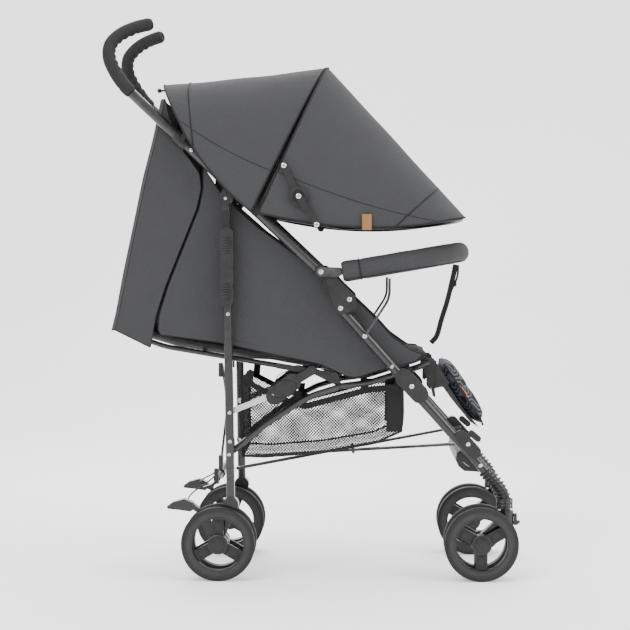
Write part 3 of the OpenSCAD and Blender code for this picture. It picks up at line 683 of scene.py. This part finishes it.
class STROLLER_OT_canopy(Builder, bpy.types.Operator):
    """Canopy of two curved cloth panels with piped seams, hems, a black lining and a leather tag"""
    bl_idname = "stroller.canopy"
    bl_label = "Canopy"

    def panel(self, name, hem, crown, half0, half1, sag, seams):
        shape = Shape()
        rows = []
        count = 36

        def point(u, deg, drop=0.0):
            x0, z0 = (sum(c * w for c, w in zip([p[k] for p in hem], weights(u))) for k in (0, 1))
            x1, z1 = (sum(c * w for c, w in zip([p[k] for p in crown], weights(u))) for k in (0, 1))
            t = math.radians(deg)
            h, w = power(math.sin(t), 0.6), power(math.cos(t), 0.6)
            half = half0 + (half1 - half0) * u - drop
            return (x0 + (x1 - x0) * h, -half * w, z0 + (z1 - drop - z0) * h)

        def weights(u):
            return ((1 - u) ** 2, 2 * u * (1 - u), u * u)

        for i in range(count + 1):
            u = i / count
            row = []
            for j in range(97):
                deg = 180 * j / 96
                body = math.sin(math.pi * u) * (0.35 + 0.65 * math.sin(math.radians(deg)))
                drop = sag * body + 0.9 * ripple(u * 9, deg / 14) * math.sin(math.pi * u)
                drop += 0.5 * math.sin(deg * 0.9) * math.exp(-min(u, 1 - u) * 16)
                row.append(point(u, deg, max(0.2, drop)))
            rows.append(row)
        area = shape.sheet(rows, 1.4, 0, 1)
        for u in seams:
            drop = sag * math.sin(math.pi * u)
            path = [point(u, 180 * j / 96, max(0.2, drop * (0.35 + 0.65 * math.sin(math.pi * j / 96))) - 0.4)
                    for j in range(97)]
            shape.tube(path, 1.5 if u in (0, 1) else 1.1, 8, 2, key=(0.9, 0.1, 0.3))
        for deg in (0, 180):
            path = [point(i / count, deg, 0.6) for i in range(count + 1)]
            shape.tube(path, 1.7, 8, 2, key=(0, 1, 0))
            hem_turn = 6.5 if deg == 0 else 173.5
            stitch = [point(i / 72, hem_turn, -0.1 + sag * 0.42 * math.sin(math.pi * i / 72))
                      for i in range(73)]
            shape.tube(stitch, 0.55, 6, 2, key=(0, 1, 0))
        obj = shape.build(name, [M["canopy cloth"], M["black lining"], M["piping"]])
        return obj, area

    def make(self, s):
        rear, area = self.panel("canopy_rear_cloth", REAR_HEM, REAR_CROWN, CANOPY_HALF, CANOPY_HALF,
                                s.canopy_sag, (0, 0.16, 1))
        place(rear, None, "canopy_rear", slot="grey_fabric")
        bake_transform(rear)
        front, area = self.panel("canopy_front_cloth", FRONT_HEM, FRONT_CROWN, CANOPY_HALF,
                                 CANOPY_HALF - 5, s.canopy_sag, (0, 0.8, 1))
        place(front, None, "canopy_front", slot="grey_fabric")
        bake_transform(front)
        tag = Shape()
        hang = [(107, -218.2, 694), (107, -218.4, 688), (107, -218.4, 680), (107, -218.2, 671),
                (107, -217.8, 664)]
        tag.ribbon(smooth_line(hang, 4), 18, 1.4, (1, 0, 0))
        place(tag.build("canopy_leather_tag", [M["tan leather"]]), "front_hoop")


class STROLLER_OT_curtain(Builder, bpy.types.Operator):
    """Rear curtain: one sheet from wing to wing round the back of the seat"""
    bl_idname = "stroller.curtain"
    bl_label = "Rear curtain"

    def make(self, s):
        back = along([(-286, 914), (-300, 850), (-320, 771), (-344, 660), (-374, 507), (-382, 474)], 44)
        front = along([(-262, 838), (-232, 800), (-213, 772), (-210, 744), (-219, 705), (-244, 643),
                       (-278, 559), (-297, 500), (-307, 441)], 44)
        shape = Shape()
        rows = []
        for i in range(44):
            b, f = back[i], front[i]
            row = []
            for k in range(13):
                u = k / 12
                out = CURTAIN_Y + 0.7 * ripple(u * 5, i / 5, 1.0) - 0.2
                row.append((f[0] + (b[0] + 8 - f[0]) * u, -out, f[1] + (b[1] - f[1]) * u))
            for k in range(1, 30):
                v = -1 + 2 * k / 30
                bow = 1.8 * ripple(v * 6, i / 6, 2.0) + 1.5
                round_corner = 8 * max(0, (abs(v) - 0.93) / 0.07) ** 2
                row.append((b[0] + round_corner + bow * (1 - abs(v) ** 6), v * (CURTAIN_Y - 1), b[1]))
            for k in range(13):
                u = 1 - k / 12
                out = CURTAIN_Y + 0.7 * ripple(u * 5, i / 5, 4.0) - 0.2
                row.append((f[0] + (b[0] + 8 - f[0]) * u, out, f[1] + (b[1] - f[1]) * u))
            rows.append(row)
        area = shape.sheet(rows, 1.2, 0, 0)
        for j in (0, len(rows[0]) - 1, 12, len(rows[0]) - 13):
            shape.tube([r[j] for r in rows], 1.2, 8, 2, key=(0, 1, 0))
        shape.tube(rows[0], 1.2, 8, 2, key=(0, 0, 1))
        shape.tube(rows[-1], 1.6, 8, 2, key=(0, 0, 1))
        obj = shape.build("rear_curtain_cloth", [M["side cloth"], M["black lining"], M["piping"]])
        place(obj, "frame", "rear_curtain", slot="grey_fabric")


class STROLLER_OT_side_panels(Builder, bpy.types.Operator):
    """Cloth side panels between the handle tubes and the seat, with piped hems"""
    bl_idname = "stroller.side_panels"
    bl_label = "Side panels"

    def make(self, s):
        top = along([(-205, 785), (-168, 728), (-100, 668), (0, 595), (83, 534), (128, 491),
                     (155, 461), (190, 436), (214, 427)], 60)
        low = along([(-205, 744), (-213, 705), (-238, 643), (-272, 559), (-290, 500), (-292, 466),
                     (-168, 449), (-59, 425), (-13, 416), (21, 408), (48, 396), (73, 384), (90, 384),
                     (128, 397), (168, 406), (198, 414)], 60)
        for side, tag in ((-1, "r"), (1, "l")):
            shape = Shape()
            rows = []
            for i in range(60):
                t, b = top[i], low[i]
                row = []
                for k in range(15):
                    v = k / 14
                    p = mix(b, t, v)
                    soft = math.sin(math.pi * v) * math.sin(math.pi * i / 59)
                    out = PANEL_Y + 1.1 * soft * ripple(i / 7, v * 4 + i / 15, side)
                    row.append((p[0], side * out, p[1]))
                rows.append(row if side > 0 else row[::-1])
            area = shape.sheet(rows, 1.0, 0, 0)
            for line in ([r[0] for r in rows], [r[-1] for r in rows], rows[0], rows[-1]):
                shape.tube(line, 1.3, 8, 2, key=(0, 1, 0))
            hem = [mix(r[0], r[-1], 0.06 if side > 0 else 0.94) for r in rows]
            shape.tube([(x, y + side * 0.5, z) for x, y, z in hem], 0.5, 6, 2, key=(0, 1, 0))
            obj = shape.build("side_panel_cloth_" + tag, [M["side cloth"], M["black lining"], M["piping"]])
            place(obj, "frame", *(("side_panels",) if side < 0 else ()), slot="grey_fabric")


class STROLLER_OT_bumper(Builder, bpy.types.Operator):
    """Padded bumper bar cover with gathered ends and piped nose, and the crotch strap"""
    bl_idname = "stroller.bumper"
    bl_label = "Bumper bar"

    def make(self, s):
        def at(x, y):
            return (x, y, 583 + (x - 50) / 6)
        line = [at(x, -HALF_TRACK) for x in (60, 96, 132, 168)]
        line += [at(170 + 120 * math.sin(math.radians(a)), -HALF_TRACK * math.cos(math.radians(a)))
                 for a in range(12, 170, 12)]
        line += [at(x, HALF_TRACK) for x in (168, 132, 96, 60)]
        path = along(smooth_line(line, 6), 170)
        shape = Shape()
        r = s.bumper_diameter / 2

        def cover(share, a):
            near = min(share, 1 - share)
            gather = 0.035 * math.exp(-(near / 0.035) ** 2) * math.sin(9 * a)
            seam = -0.05 * math.exp(-((near - 0.05) / 0.006) ** 2)
            soft = 0.012 * ripple(share * 46, a * 1.5) + 0.01 * math.sin(a * 3 + share * 9)
            end = -0.16 * max(0, 1 - near / 0.012) ** 2
            return 0.975 + gather + seam + soft + end

        shape.tube(path, r, 36, 0, key=(0, 0, 1), shape=cover)
        for a in (2.3, 5.4):
            seam = []
            for i in range(1, len(path) - 1):
                p, d = np.array(path[i]), np.array(path[i + 1]) - np.array(path[i - 1])
                u = np.cross(d, (0, 0, 1))
                u = u / np.linalg.norm(u)
                v = np.cross(u, d / np.linalg.norm(d))
                seam.append(tuple(p + r * 0.985 * (math.cos(a) * u + math.sin(a) * v)))
            shape.tube(seam, 0.9, 8, 1, key=(0, 0, 1))
        for n in (8, -9):
            p = np.array(path[n])
            d = p - np.array(path[n + 1])
            d = d / np.linalg.norm(d)
            shape.lathe(p, d, [(-1.4, r * 0.95), (-1.2, r * 1.015), (0, r * 1.035), (1.2, r * 1.015),
                               (1.4, r * 0.95)], 36, 1)
        obj = shape.build("bumper_cover", [M["pad cloth"], M["piping"]])
        place(obj, "frame", "bumper_pad", slot="grey_fabric")
        strap = Shape()
        route = smooth_line([(284, 0, 599), (277, 0, 566), (267, 0, 525), (256, 0, 490), (247, 0, 458),
                             (235, 0, 443)], 6)
        strap.ribbon(route, 30, 9, (0, 1, 0))
        loop = smooth_line([(289, 0, 598), (288, 0, 578), (282, 0, 560), (272, 0, 541)], 6)
        strap.ribbon(loop, 27, 3.2, (0, 1, 0))
        strap.lathe((283, 0, 560), (1, 0, 0.05), [(0, 5.5), (2, 5.5), (3, 4.2), (3.4, 1)], 24, 1)
        place(strap.build("crotch_webbing", [M["webbing"], M["black plastic"]]), "frame", "crotch_strap",
              slot="black_webbing")


class STROLLER_OT_seat(Builder, bpy.types.Operator):
    """Seat pad, backrest pad and harness"""
    bl_idname = "stroller.seat"
    bl_label = "Seat and backrest"

    def make(self, s):
        seat = [((55, 389), (60, 407)), ((82, 389.5), (84, 408.5)), ((110, 390), (110, 409.5)),
                ((140, 398), (140, 417)), ((170, 406), (168, 425)), ((198, 413.5), (194, 433)),
                ((216, 420), (213, 435.5)), ((228, 424), (226, 433))]
        pad = puff(pad_block("seat_cushion", seat, SEAT_HALF - 5, "pad cloth"), cap=0.005)

        def seat_channels(x, y, z):
            return channel(x - 62, 38, 2.6) + channel(y, 94, 2.0) if z > 396 + 0.14 * x else 0

        sink(pad, seat_channels)
        self.finish(pad, "seat", "seat_pad")
        u = np.array(BACK_DIR)
        start = np.array((26.0, 394.6))
        rows = [(start, start + (0, 17))]
        for far in (60, 110):
            p = np.array((45, 385.5)) + u * far
            rows.append((p + (0, 2 + 6.5), p + (0, 24)))
        for far in range(160, 422, 52):
            x = 45 - 0.9781 * far
            if x > -285:
                base = 410.5 + (-64 - x) * (447.5 - 410.5) / 221 if x < -64 else 410.5
            else:
                base = 447.5 + (-285 - x) * 32.6 / 84.7
            rows.append((np.array((x, base)), np.array((x, base + 19))))
        profile = [(tuple(a), tuple(b)) for a, b in rows]
        back = puff(pad_block("backrest_cushion", profile, SEAT_HALF - 5, "pad cloth"), cap=0.004)

        def back_channels(x, y, z):
            return channel(x, 74, 2.6) + channel(y, 94, 2.0) if z > 404 - 0.18 * x else 0

        sink(back, back_channels)
        self.finish(back, "backrest", "backrest_pad")
        straps = Shape()
        for side in (-1, 1):
            waist = smooth_line([(70, side * 128, 414), (88, side * 105, 416), (118, side * 62, 421),
                                 (150, side * 26, 428)], 6)
            straps.ribbon(waist, 24, 1.6, (0.75, 0.6 * side, 0.25))
        straps.ribbon(smooth_line([(206, 0, 440), (188, 0, 441), (168, 0, 437)], 6), 24, 1.8, (0, 1, 0))
        buckle, up = (158, 0, 431), (-0.2, 0, 0.98)
        straps.lathe(buckle, up, [(0, 17), (1, 19), (6, 19), (8, 16), (8.6, 12), (8.2, 0)], 32, 1)
        straps.lathe(buckle, up, [(8, 7), (10, 7), (10.6, 5.5), (10.4, 0)], 24, 1)
        obj = straps.build("harness_straps", [M["webbing"], M["black plastic"]])
        place(obj, "seat", "harness", slot="black_webbing")
        upper = Shape()
        for side in (-1, 1):
            run = [(45 - 0.9781 * f, side * (34 + f * 0.04), z) for f, z in
                   ((40, 422), (90, 429.5), (150, 434), (210, 444), (268, 454), (276, 451))]
            upper.ribbon(smooth_line(run, 6), 24, 1.8, (0, 1, 0))
            upper.ribbon(smooth_line([(p[0], p[1], p[2] + 4) for p in run[1:4]], 6), 34, 5, (0, 1, 0), 1)
        place(upper.build("shoulder_straps", [M["webbing"], M["pad cloth"]]), "backrest")

    def finish(self, pad, body, node):
        subdivide_once(pad)
        place(pad, body, node, slot="grey_fabric")


class STROLLER_OT_footrest(Builder, bpy.types.Operator):
    """Quilted footrest pad in chevron cloth with a bound edge and a plain tag"""
    bl_idname = "stroller.footrest"
    bl_label = "Footrest"

    def make(self, s):
        lows = [(250, 401), (257, 388), (266, 373.5), (280, 350), (294.5, 326.5), (308, 310), (321, 295),
                (329, 285.5)]
        highs = [(262, 412), (273, 402), (281, 390), (294, 371), (309, 348), (321, 329), (331, 309),
                 (335, 291)]
        half = 126
        block = pad_block("footrest_cushion", list(zip(lows, highs)), half - 4, "chevron cloth")
        pad = puff(block, cap=0.005)

        def quilt(x, y, z):
            front = z > 735 - 1.36 * x
            return channel(y, 84, 2.2) + channel(z, 60, 2.0) if front else 0

        sink(pad, quilt)
        subdivide_once(pad)
        place(pad, "footrest", "footrest_pad", slot="patterned_fabric")
        trim = Shape()
        mid = [mix(a, b, 0.5) for a, b in zip(lows, highs)]
        for side in (-1, 1):
            trim.tube(smooth_line([(p[0], side * (half - 0.5), p[1]) for p in mid], 5), 2.0, 8, 0)
        x, z = 297, 345
        normal = np.array((0.84, 0, 0.54))
        run = [tuple(np.array((x - 12 + t * 24 * 0.54, -108, z + 12 - t * 24 * 0.84)) + normal * 8.0)
               for t in np.linspace(0, 1, 6)]
        trim.ribbon(run, 15, 1.4, (0, 1, 0), 1)
        place(trim.build("footrest_binding_and_tag", [M["piping"], M["orange tag"]]), "footrest")


class STROLLER_OT_basket(Builder, bpy.types.Operator):
    """Open net basket that sags between its bound edges"""
    bl_idname = "stroller.basket"
    bl_label = "Basket"

    def make(self, s):
        rim = along([(-134, 382), (-60, 344), (-10, 330), (110, 362), (176, 368)], 40)
        floor = along([(-132, 229), (-90, 227), (20, 236), (120, 253), (174, 277)], 40)
        half = 145.5
        shape = Shape()
        rows = []
        for i in range(40):
            r, f = rim[i], floor[i]
            row = []
            for k in range(13):
                v = k / 12
                p = mix(r, f, v)
                row.append((p[0], -half + 2.5 * math.sin(math.pi * v) + 1.2 * ripple(i / 4, v * 5), p[1]))
            for k in range(1, 22):
                v = -1 + 2 * k / 22
                sag = 1.5 * ripple(i / 5, v * 4, 1.0) + 5 * (1 - v * v) * 0.4
                row.append((f[0], v * half, f[1] - sag * 0.4 + 1.5 * (1 - abs(v))))
            for k in range(13):
                v = 1 - k / 12
                p = mix(r, f, v)
                row.append((p[0], half - 2.5 * math.sin(math.pi * v) - 1.2 * ripple(i / 4, v * 5, 3.0), p[1]))
            rows.append(row)
        area = shape.sheet(rows, 0.7, 0, 0)
        obj = shape.build("basket_net", [M["basket net"]])
        place(obj, "seat", "basket", slot="black_mesh")
        ends = Shape()
        total = 0
        for at, lean in ((0, -1), (-1, 1)):
            r, f = rim[at], floor[at]
            panel = []
            for k in range(11):
                p = mix(f, r, k / 10)
                bulge = lean * 3 * math.sin(math.pi * k / 10)
                panel.append([(p[0] + bulge + 0.8 * ripple(j / 4, k / 3), y, p[1])
                              for j, y in enumerate(np.linspace(-half + 3, half - 3, 30))])
            total += ends.sheet(panel, 1.0, 0, 0)
        place(ends.build("basket_end_panels", [M["black lining"]]), "seat", slot="black_mesh")
        trim = Shape()
        for side in (-1, 1):
            trim.ribbon([(p[0], side * (half - 0.6), p[1] - 4) for p in rim], 12, 1.8, (0, 0, 1))
            trim.tube([(p[0], side * (half - 1.0), p[1] + 1.0) for p in floor], 2.0, 8)
            for at in (0, -1):
                r, f = rim[at], floor[at]
                edge = [mix(r, f, k / 8) for k in range(9)]
                trim.tube([(x, side * (half - 2), z) for x, z in edge], 2.0, 8, key=(0, 1, 0))
                if at:
                    trim.ribbon([(x - 15, side * (half - 0.2), z) for x, z in edge], 30, 1.2, (1, 0, 0))
            for at in (2, 14, 30, 38):
                p = rim[at]
                trim.ribbon([(p[0], side * (half + 0.5), p[1] - 2), (p[0] + 1, side * (half + 0.8), p[1] + 9),
                             (p[0] + 2, side * (half + 0.5), p[1] + 20)], 14, 1.4, (1, 0, 0))
        place(trim.build("basket_binding_and_loops", [M["piping"]]), "seat")


class STROLLER_OT_springs(Builder, bpy.types.Operator):
    """Coil springs of the front suspension"""
    bl_idname = "stroller.springs"
    bl_label = "Springs"

    def make(self, s):
        for side, tag in ((-1, "r"), (1, "l")):
            shape = Shape()
            turns = s.spring_turns
            path = []
            for k in range(turns * 20 + 1):
                a = 2 * math.pi * k / 20
                z = SPRING_FOOT + SPRING_RISE * k / (turns * 20)
                path.append((CASTER_X - 2 + SPRING_RADIUS * math.cos(a),
                             side * HALF_TRACK + SPRING_RADIUS * math.sin(a), z))
            shape.tube(path, 1.05, 8, key=(0, 0, 1))
            obj = shape.build("spring_coil_" + tag, [M["dark spring"]])
            place(obj, "suspension_" + tag, "spring_" + tag, slot="bright_steel")
            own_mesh(obj)


class STROLLER_OT_wheels(Builder, bpy.types.Operator):
    """Hub caps, spoke ribs and rim lips of the eight wheels"""
    bl_idname = "stroller.wheels"
    bl_label = "Wheel details"

    def make(self, s):
        for name, axle, phase in (("rear", REAR_AXLE, 90), ("front", FRONT_AXLE, 30)):
            for side, tag in ((-1, "r"), (1, "l")):
                shape = Shape()
                for k in (-1, 1):
                    y = side * HALF_TRACK + k * TWIN_OFFSET
                    for face in (-1, 1):
                        self.face_details(shape, axle, y, face, phase)
                obj = shape.build(f"{name}_wheel_details_{tag}", [M["wheel plastic"], M["tyre foam"]])
                place(obj, f"{name}_wheels_{tag}", slot="black_plastic")

    def face_details(self, shape, axle, y, face, phase):
        x, z = axle
        axis = (0, face, 0)
        hub = [(-1, 18.6), (0.6, 18.6), (1.6, 17), (2.0, 12.2), (3.6, 11.6), (4.4, 9.8), (4.4, 5.4)]
        shape.lathe((x, y + face * 11, z), axis, hub, 40)
        ring = [(11.2, 48.7), (12.4, 49.0), (12.9, 50.2), (12.6, 51.8), (11.6, 52.4)]
        rows = []
        for h, r in ring:
            rows.append([(x + r * math.cos(math.radians(a)), y + face * h, z + r * math.sin(math.radians(a)))
                         for a in range(0, 360, 6)])
        shape.grid(rows, 0, wrap=True)
        shape.grid(rows[::-1], 0, wrap=True)
        for a in (0, 120, 240):
            t = math.radians(phase + a)
            d = np.array((math.cos(t), math.sin(t)))
            n = np.array((-d[1], d[0]))
            outline = []
            for q in range(28):
                c = 2 * math.pi * q / 28
                outline.append((power(math.cos(c), 0.75), math.sin(c)))
            rows = []
            for h, g in ((4.6, 1.0), (6.4, 1.0), (7.0, 0.93), (7.0, 0.8), (6.0, 0.74), (6.0, 0.02)):
                row = []
                for u, v in outline:
                    p = d * (32.5 + 11 * u * g) + n * (8.2 * v * g)
                    row.append((x + p[0], y + face * h, z + p[1]))
                rows.append(row)
            shape.grid(rows, 0, wrap=True)


class STROLLER_OT_trims(Builder, bpy.types.Operator):
    """Rivets, collar webbing, carry grip ribs, strut screws, pedal wires and hooks"""
    bl_idname = "stroller.trims"
    bl_label = "Trims"

    def screw(self, shape, p, side, r):
        """Domed cross-head screw at p on one side"""
        x, y, z = p
        dome = [(0, r), (1.1, r * 0.96), (1.9, r * 0.75), (2.2, r * 0.3), (2.2, 0)]
        shape.lathe((x, side * y, z), (0, side, 0), dome, 24, STEEL)
        for a in (0.4, 0.4 + math.pi / 2):
            d = np.array((math.cos(a), 0, math.sin(a))) * r * 0.55
            c = np.array((x, side * (y + 2.15), z))
            shape.tube([tuple(c - d), tuple(c + d)], 0.42, 6, BLACK)

    def make(self, s):
        finishes = [M["bright steel"], M["black plastic"], M["webbing"], M["glossy plastic"]]
        for name, body, draw in (("frame_screws_and_ties", "frame", self.frame_trims),
                                 ("rear_leg_ribs_and_wires", "rear_frame", self.rear_leg_trims),
                                 ("upper_strut_screws", "upper_struts", self.upper_strut_screws),
                                 ("lower_strut_screws", "lower_struts", self.lower_strut_screws),
                                 ("lever_raised_edges", "levers", self.lever_edges),
                                 ("footrest_ratchet_teeth", "rest_hinges", self.ratchet_teeth)):
            shape = Shape()
            draw(shape)
            place(shape.build(name, finishes), body)

    def frame_trims(self, shape):
        """Screws, grip ties, leg gaiters and strap hooks of the front frame"""
        for side in (-1, 1):
            for p in ((20, 214.4, 585), (74, 209, 533), (57, 209, 516), (-226, 204, 816), (103, 212, 463)):
                self.screw(shape, p, side, 4.0)
            tube = np.array((TUBE_END[0] - TUBE_TOP[0], 0, TUBE_END[1] - TUBE_TOP[1]), float)
            tube = tube / np.linalg.norm(tube)
            for far, r in ((118, 10.2), (121, 10.6), (124, 10.3), (127, 10.6), (130, 10.2)):
                c = np.array((TUBE_TOP[0], side * HALF_TRACK, TUBE_TOP[1])) + tube * far
                shape.lathe(tuple(c), tuple(tube), [(-1.3, 9.7), (-1, r), (1, r), (1.3, 9.7)], 28, WEBBING)
            self.leg_gaiter(shape, side)
            hook = smooth_line([(30, side * 207.2, 578), (26, side * 207.4, 566), (29, side * 207.2, 556),
                                (36, side * 207, 554)], 6)
            shape.tube([(x, side * 210.4, z) for x, _, z in hook], 1.4, 8, BLACK)

    def leg_gaiter(self, shape, side):
        """Ribbed sleeve that winds round the bend of a front leg"""
        leg = [(330, 209), (336, 202.6), (342, 195.6), (348.5, 188), (355, 179.6), (360.5, 170.4),
               (365, 160.5), (368.5, 151), (370.4, 143)]
        leg = along(leg, 181)
        coil = []
        for k in range(1, 180):
            d = np.array(leg[k + 1]) - np.array(leg[k - 1])
            d = d / np.linalg.norm(d)
            a = 2 * math.pi * k / 18
            n = np.array((-d[1], d[0])) * 12.6 * math.cos(a)
            coil.append((leg[k][0] + n[0], side * HALF_TRACK + 12.6 * math.sin(a), leg[k][1] + n[1]))
        shape.tube(coil, 1.9, 8, BLACK, key=(0.3, 0.2, 0.9))

    def rear_leg_trims(self, shape):
        """Ribs and loop of the carry grip, rear leg screws and brake wires"""
        for z in list(range(532, 566, 5)) + list(range(620, 654, 5)):
            shape.tube([(-170.5, -204.3, z), (-164, -206.9, z + 1.5), (-159, -207.2, z + 2),
                        (-153, -206.9, z + 1.5), (-147, -204.3, z)], 0.9, 8, BLACK, key=(0, 0, 1))
        loop = [(-161, -204.6, 668), (-160.6, -204.8, 684), (-160.4, -204.6, 700)]
        shape.ribbon(loop, 15, 1.4, (1, 0, 0), WEBBING)
        for side in (-1, 1):
            for x, z in ((-157, 505), (-153.5, 262)):
                self.screw(shape, (x, 203.2, z), side, 3.6)
        for side in (-1, 1):
            wire = [(-232, side * 181, 143), (-236, side * 150, 150), (-226, side * 120, 160),
                    (-206, side * 96, 172), (-189, side * 84, 186)]
            shape.tube(smooth_line(wire, 6), 1.5, 8, BLACK)

    def upper_strut_screws(self, shape):
        washer = [(0, 13), (0.3, 13), (0.3, 11.6), (0.1, 11.6)]
        for side in (-1, 1):
            self.screw(shape, (-50, 223.6, 786), side, 5.0)
            shape.lathe((-22, side * 223.5, 728), (0, side, 0), washer, 32, GLOSSY)

    def lower_strut_screws(self, shape):
        for side in (-1, 1):
            self.screw(shape, (-22, 228, 728), side, 5.0)
            self.screw(shape, (12, 228, 674), side, 5.0)

    def lever_edges(self, shape):
        for side in (-1, 1):
            rim = []
            for k in range(41):
                a = 2 * math.pi * k / 40
                rim.append((-54 + 26 * math.cos(a + 0.55) - 2 * math.sin(a), side * 184.6,
                            361.5 + 13 * math.sin(a + 0.55) + 6 * math.cos(a)))
            shape.tube(rim, 0.9, 6, BLACK)

    def ratchet_teeth(self, shape):
        for k in range(9):
            for side in (1, -1):
                shape.lathe((239, side * 139.1, 412 - k * 6), (0, side, 0),
                            [(0, 2.6), (0.9, 2.4), (1.1, 0)], 12, BLACK)


class STROLLER_OT_stage(Builder, bpy.types.Operator):
    """Pale floor and backdrop, soft lights and the camera"""
    bl_idname = "stroller.stage"
    bl_label = "Stage"

    def make(self, s):
        self.floor()
        self.lights()
        self.camera()

    def floor(self):
        mesh = bpy.data.meshes.new("floor_sweep")
        verts, faces = [], []
        line = [(-9.0, 0.0), (2.2, 0.0), (2.7, 0.04), (3.1, 0.2), (3.35, 0.5), (3.45, 0.9), (3.5, 6.0)]
        for y, z in line:
            verts += [(-9.0, y, z), (9.0, y, z)]
        for i in range(len(line) - 1):
            faces.append((2 * i, 2 * i + 1, 2 * i + 3, 2 * i + 2))
        mesh.from_pydata(verts, [], faces)
        mesh.polygons.foreach_set("use_smooth", [True] * len(faces))
        floor = bpy.data.objects.new("floor_sweep", mesh)
        bpy.context.collection.objects.link(floor)
        m = bpy.data.materials.new("pale floor")
        m.use_nodes = True
        shader = m.node_tree.nodes["Principled BSDF"]
        shader.inputs["Base Color"].default_value = (0.93, 0.93, 0.93, 1)
        shader.inputs["Roughness"].default_value = 0.7
        shader.inputs["Emission Color"].default_value = (1, 1, 1, 1)
        shader.inputs["Emission Strength"].default_value = 0.36
        mesh.materials.append(m)

    def lights(self):
        world = bpy.data.worlds.new("soft room")
        world.use_nodes = True
        world.node_tree.nodes["Background"].inputs[0].default_value = (1, 1, 1, 1)
        world.node_tree.nodes["Background"].inputs[1].default_value = 1.05
        bpy.context.scene.world = world
        for name, at, size, watts in (("key light", (-1.6, -2.6, 2.9), 2.2, 125),
                                      ("side light", (2.6, -1.6, 1.9), 1.8, 75),
                                      ("top light", (0.2, 0.6, 3.3), 2.6, 85),
                                      ("back light", (-0.6, 2.4, 2.2), 2.0, 60)):
            data = bpy.data.lights.new(name, "AREA")
            data.energy = watts
            data.size = size
            light = bpy.data.objects.new(name, data)
            light.location = at
            aim = Vector((0, 0, 0.5)) - Vector(at)
            light.rotation_euler = aim.to_track_quat("-Z", "Y").to_euler()
            bpy.context.collection.objects.link(light)

    def camera(self):
        data = bpy.data.cameras.new("camera")
        data.lens = 123.1
        data.sensor_width = 36.0
        data.clip_end = 60.0
        camera = bpy.data.objects.new("camera", data)
        camera.location = (0.094, -4.29, 0.598)
        aim = Vector((-45 / 2154, 1.0, -50 / 2154))
        camera.rotation_euler = aim.to_track_quat("-Z", "Y").to_euler()
        bpy.context.collection.objects.link(camera)
        bpy.context.scene.camera = camera


OPERATORS = (
    STROLLER_OT_materials, STROLLER_OT_grips, STROLLER_OT_canopy, STROLLER_OT_curtain,
    STROLLER_OT_side_panels, STROLLER_OT_bumper, STROLLER_OT_seat, STROLLER_OT_footrest,
    STROLLER_OT_basket, STROLLER_OT_springs, STROLLER_OT_wheels, STROLLER_OT_trims, STROLLER_OT_stage)


class STROLLER_PT_panel(bpy.types.Panel):
    """Settings and build steps of the stroller"""
    bl_idname = "STROLLER_PT_panel"
    bl_label = "Stroller"
    bl_space_type = "VIEW_3D"
    bl_region_type = "UI"
    bl_category = "Stroller"

    def draw(self, context):
        for name in StrollerSettings.__annotations__:
            self.layout.prop(context.scene.stroller, name)
        for op in OPERATORS:
            self.layout.operator(op.bl_idname)


CLASSES = (StrollerSettings, *OPERATORS, STROLLER_PT_panel)


def register():
    for c in CLASSES:
        bpy.utils.register_class(c)
    bpy.types.Scene.stroller = bpy.props.PointerProperty(type=StrollerSettings)


def unregister():
    del bpy.types.Scene.stroller
    for c in reversed(CLASSES):
        bpy.utils.unregister_class(c)


def main():
    register()
    for op in OPERATORS:
        group, name = op.bl_idname.split(".")
        getattr(getattr(bpy.ops, group), name)()
    bpy.context.view_layer.update()


if __name__ == "__main__":
    main()
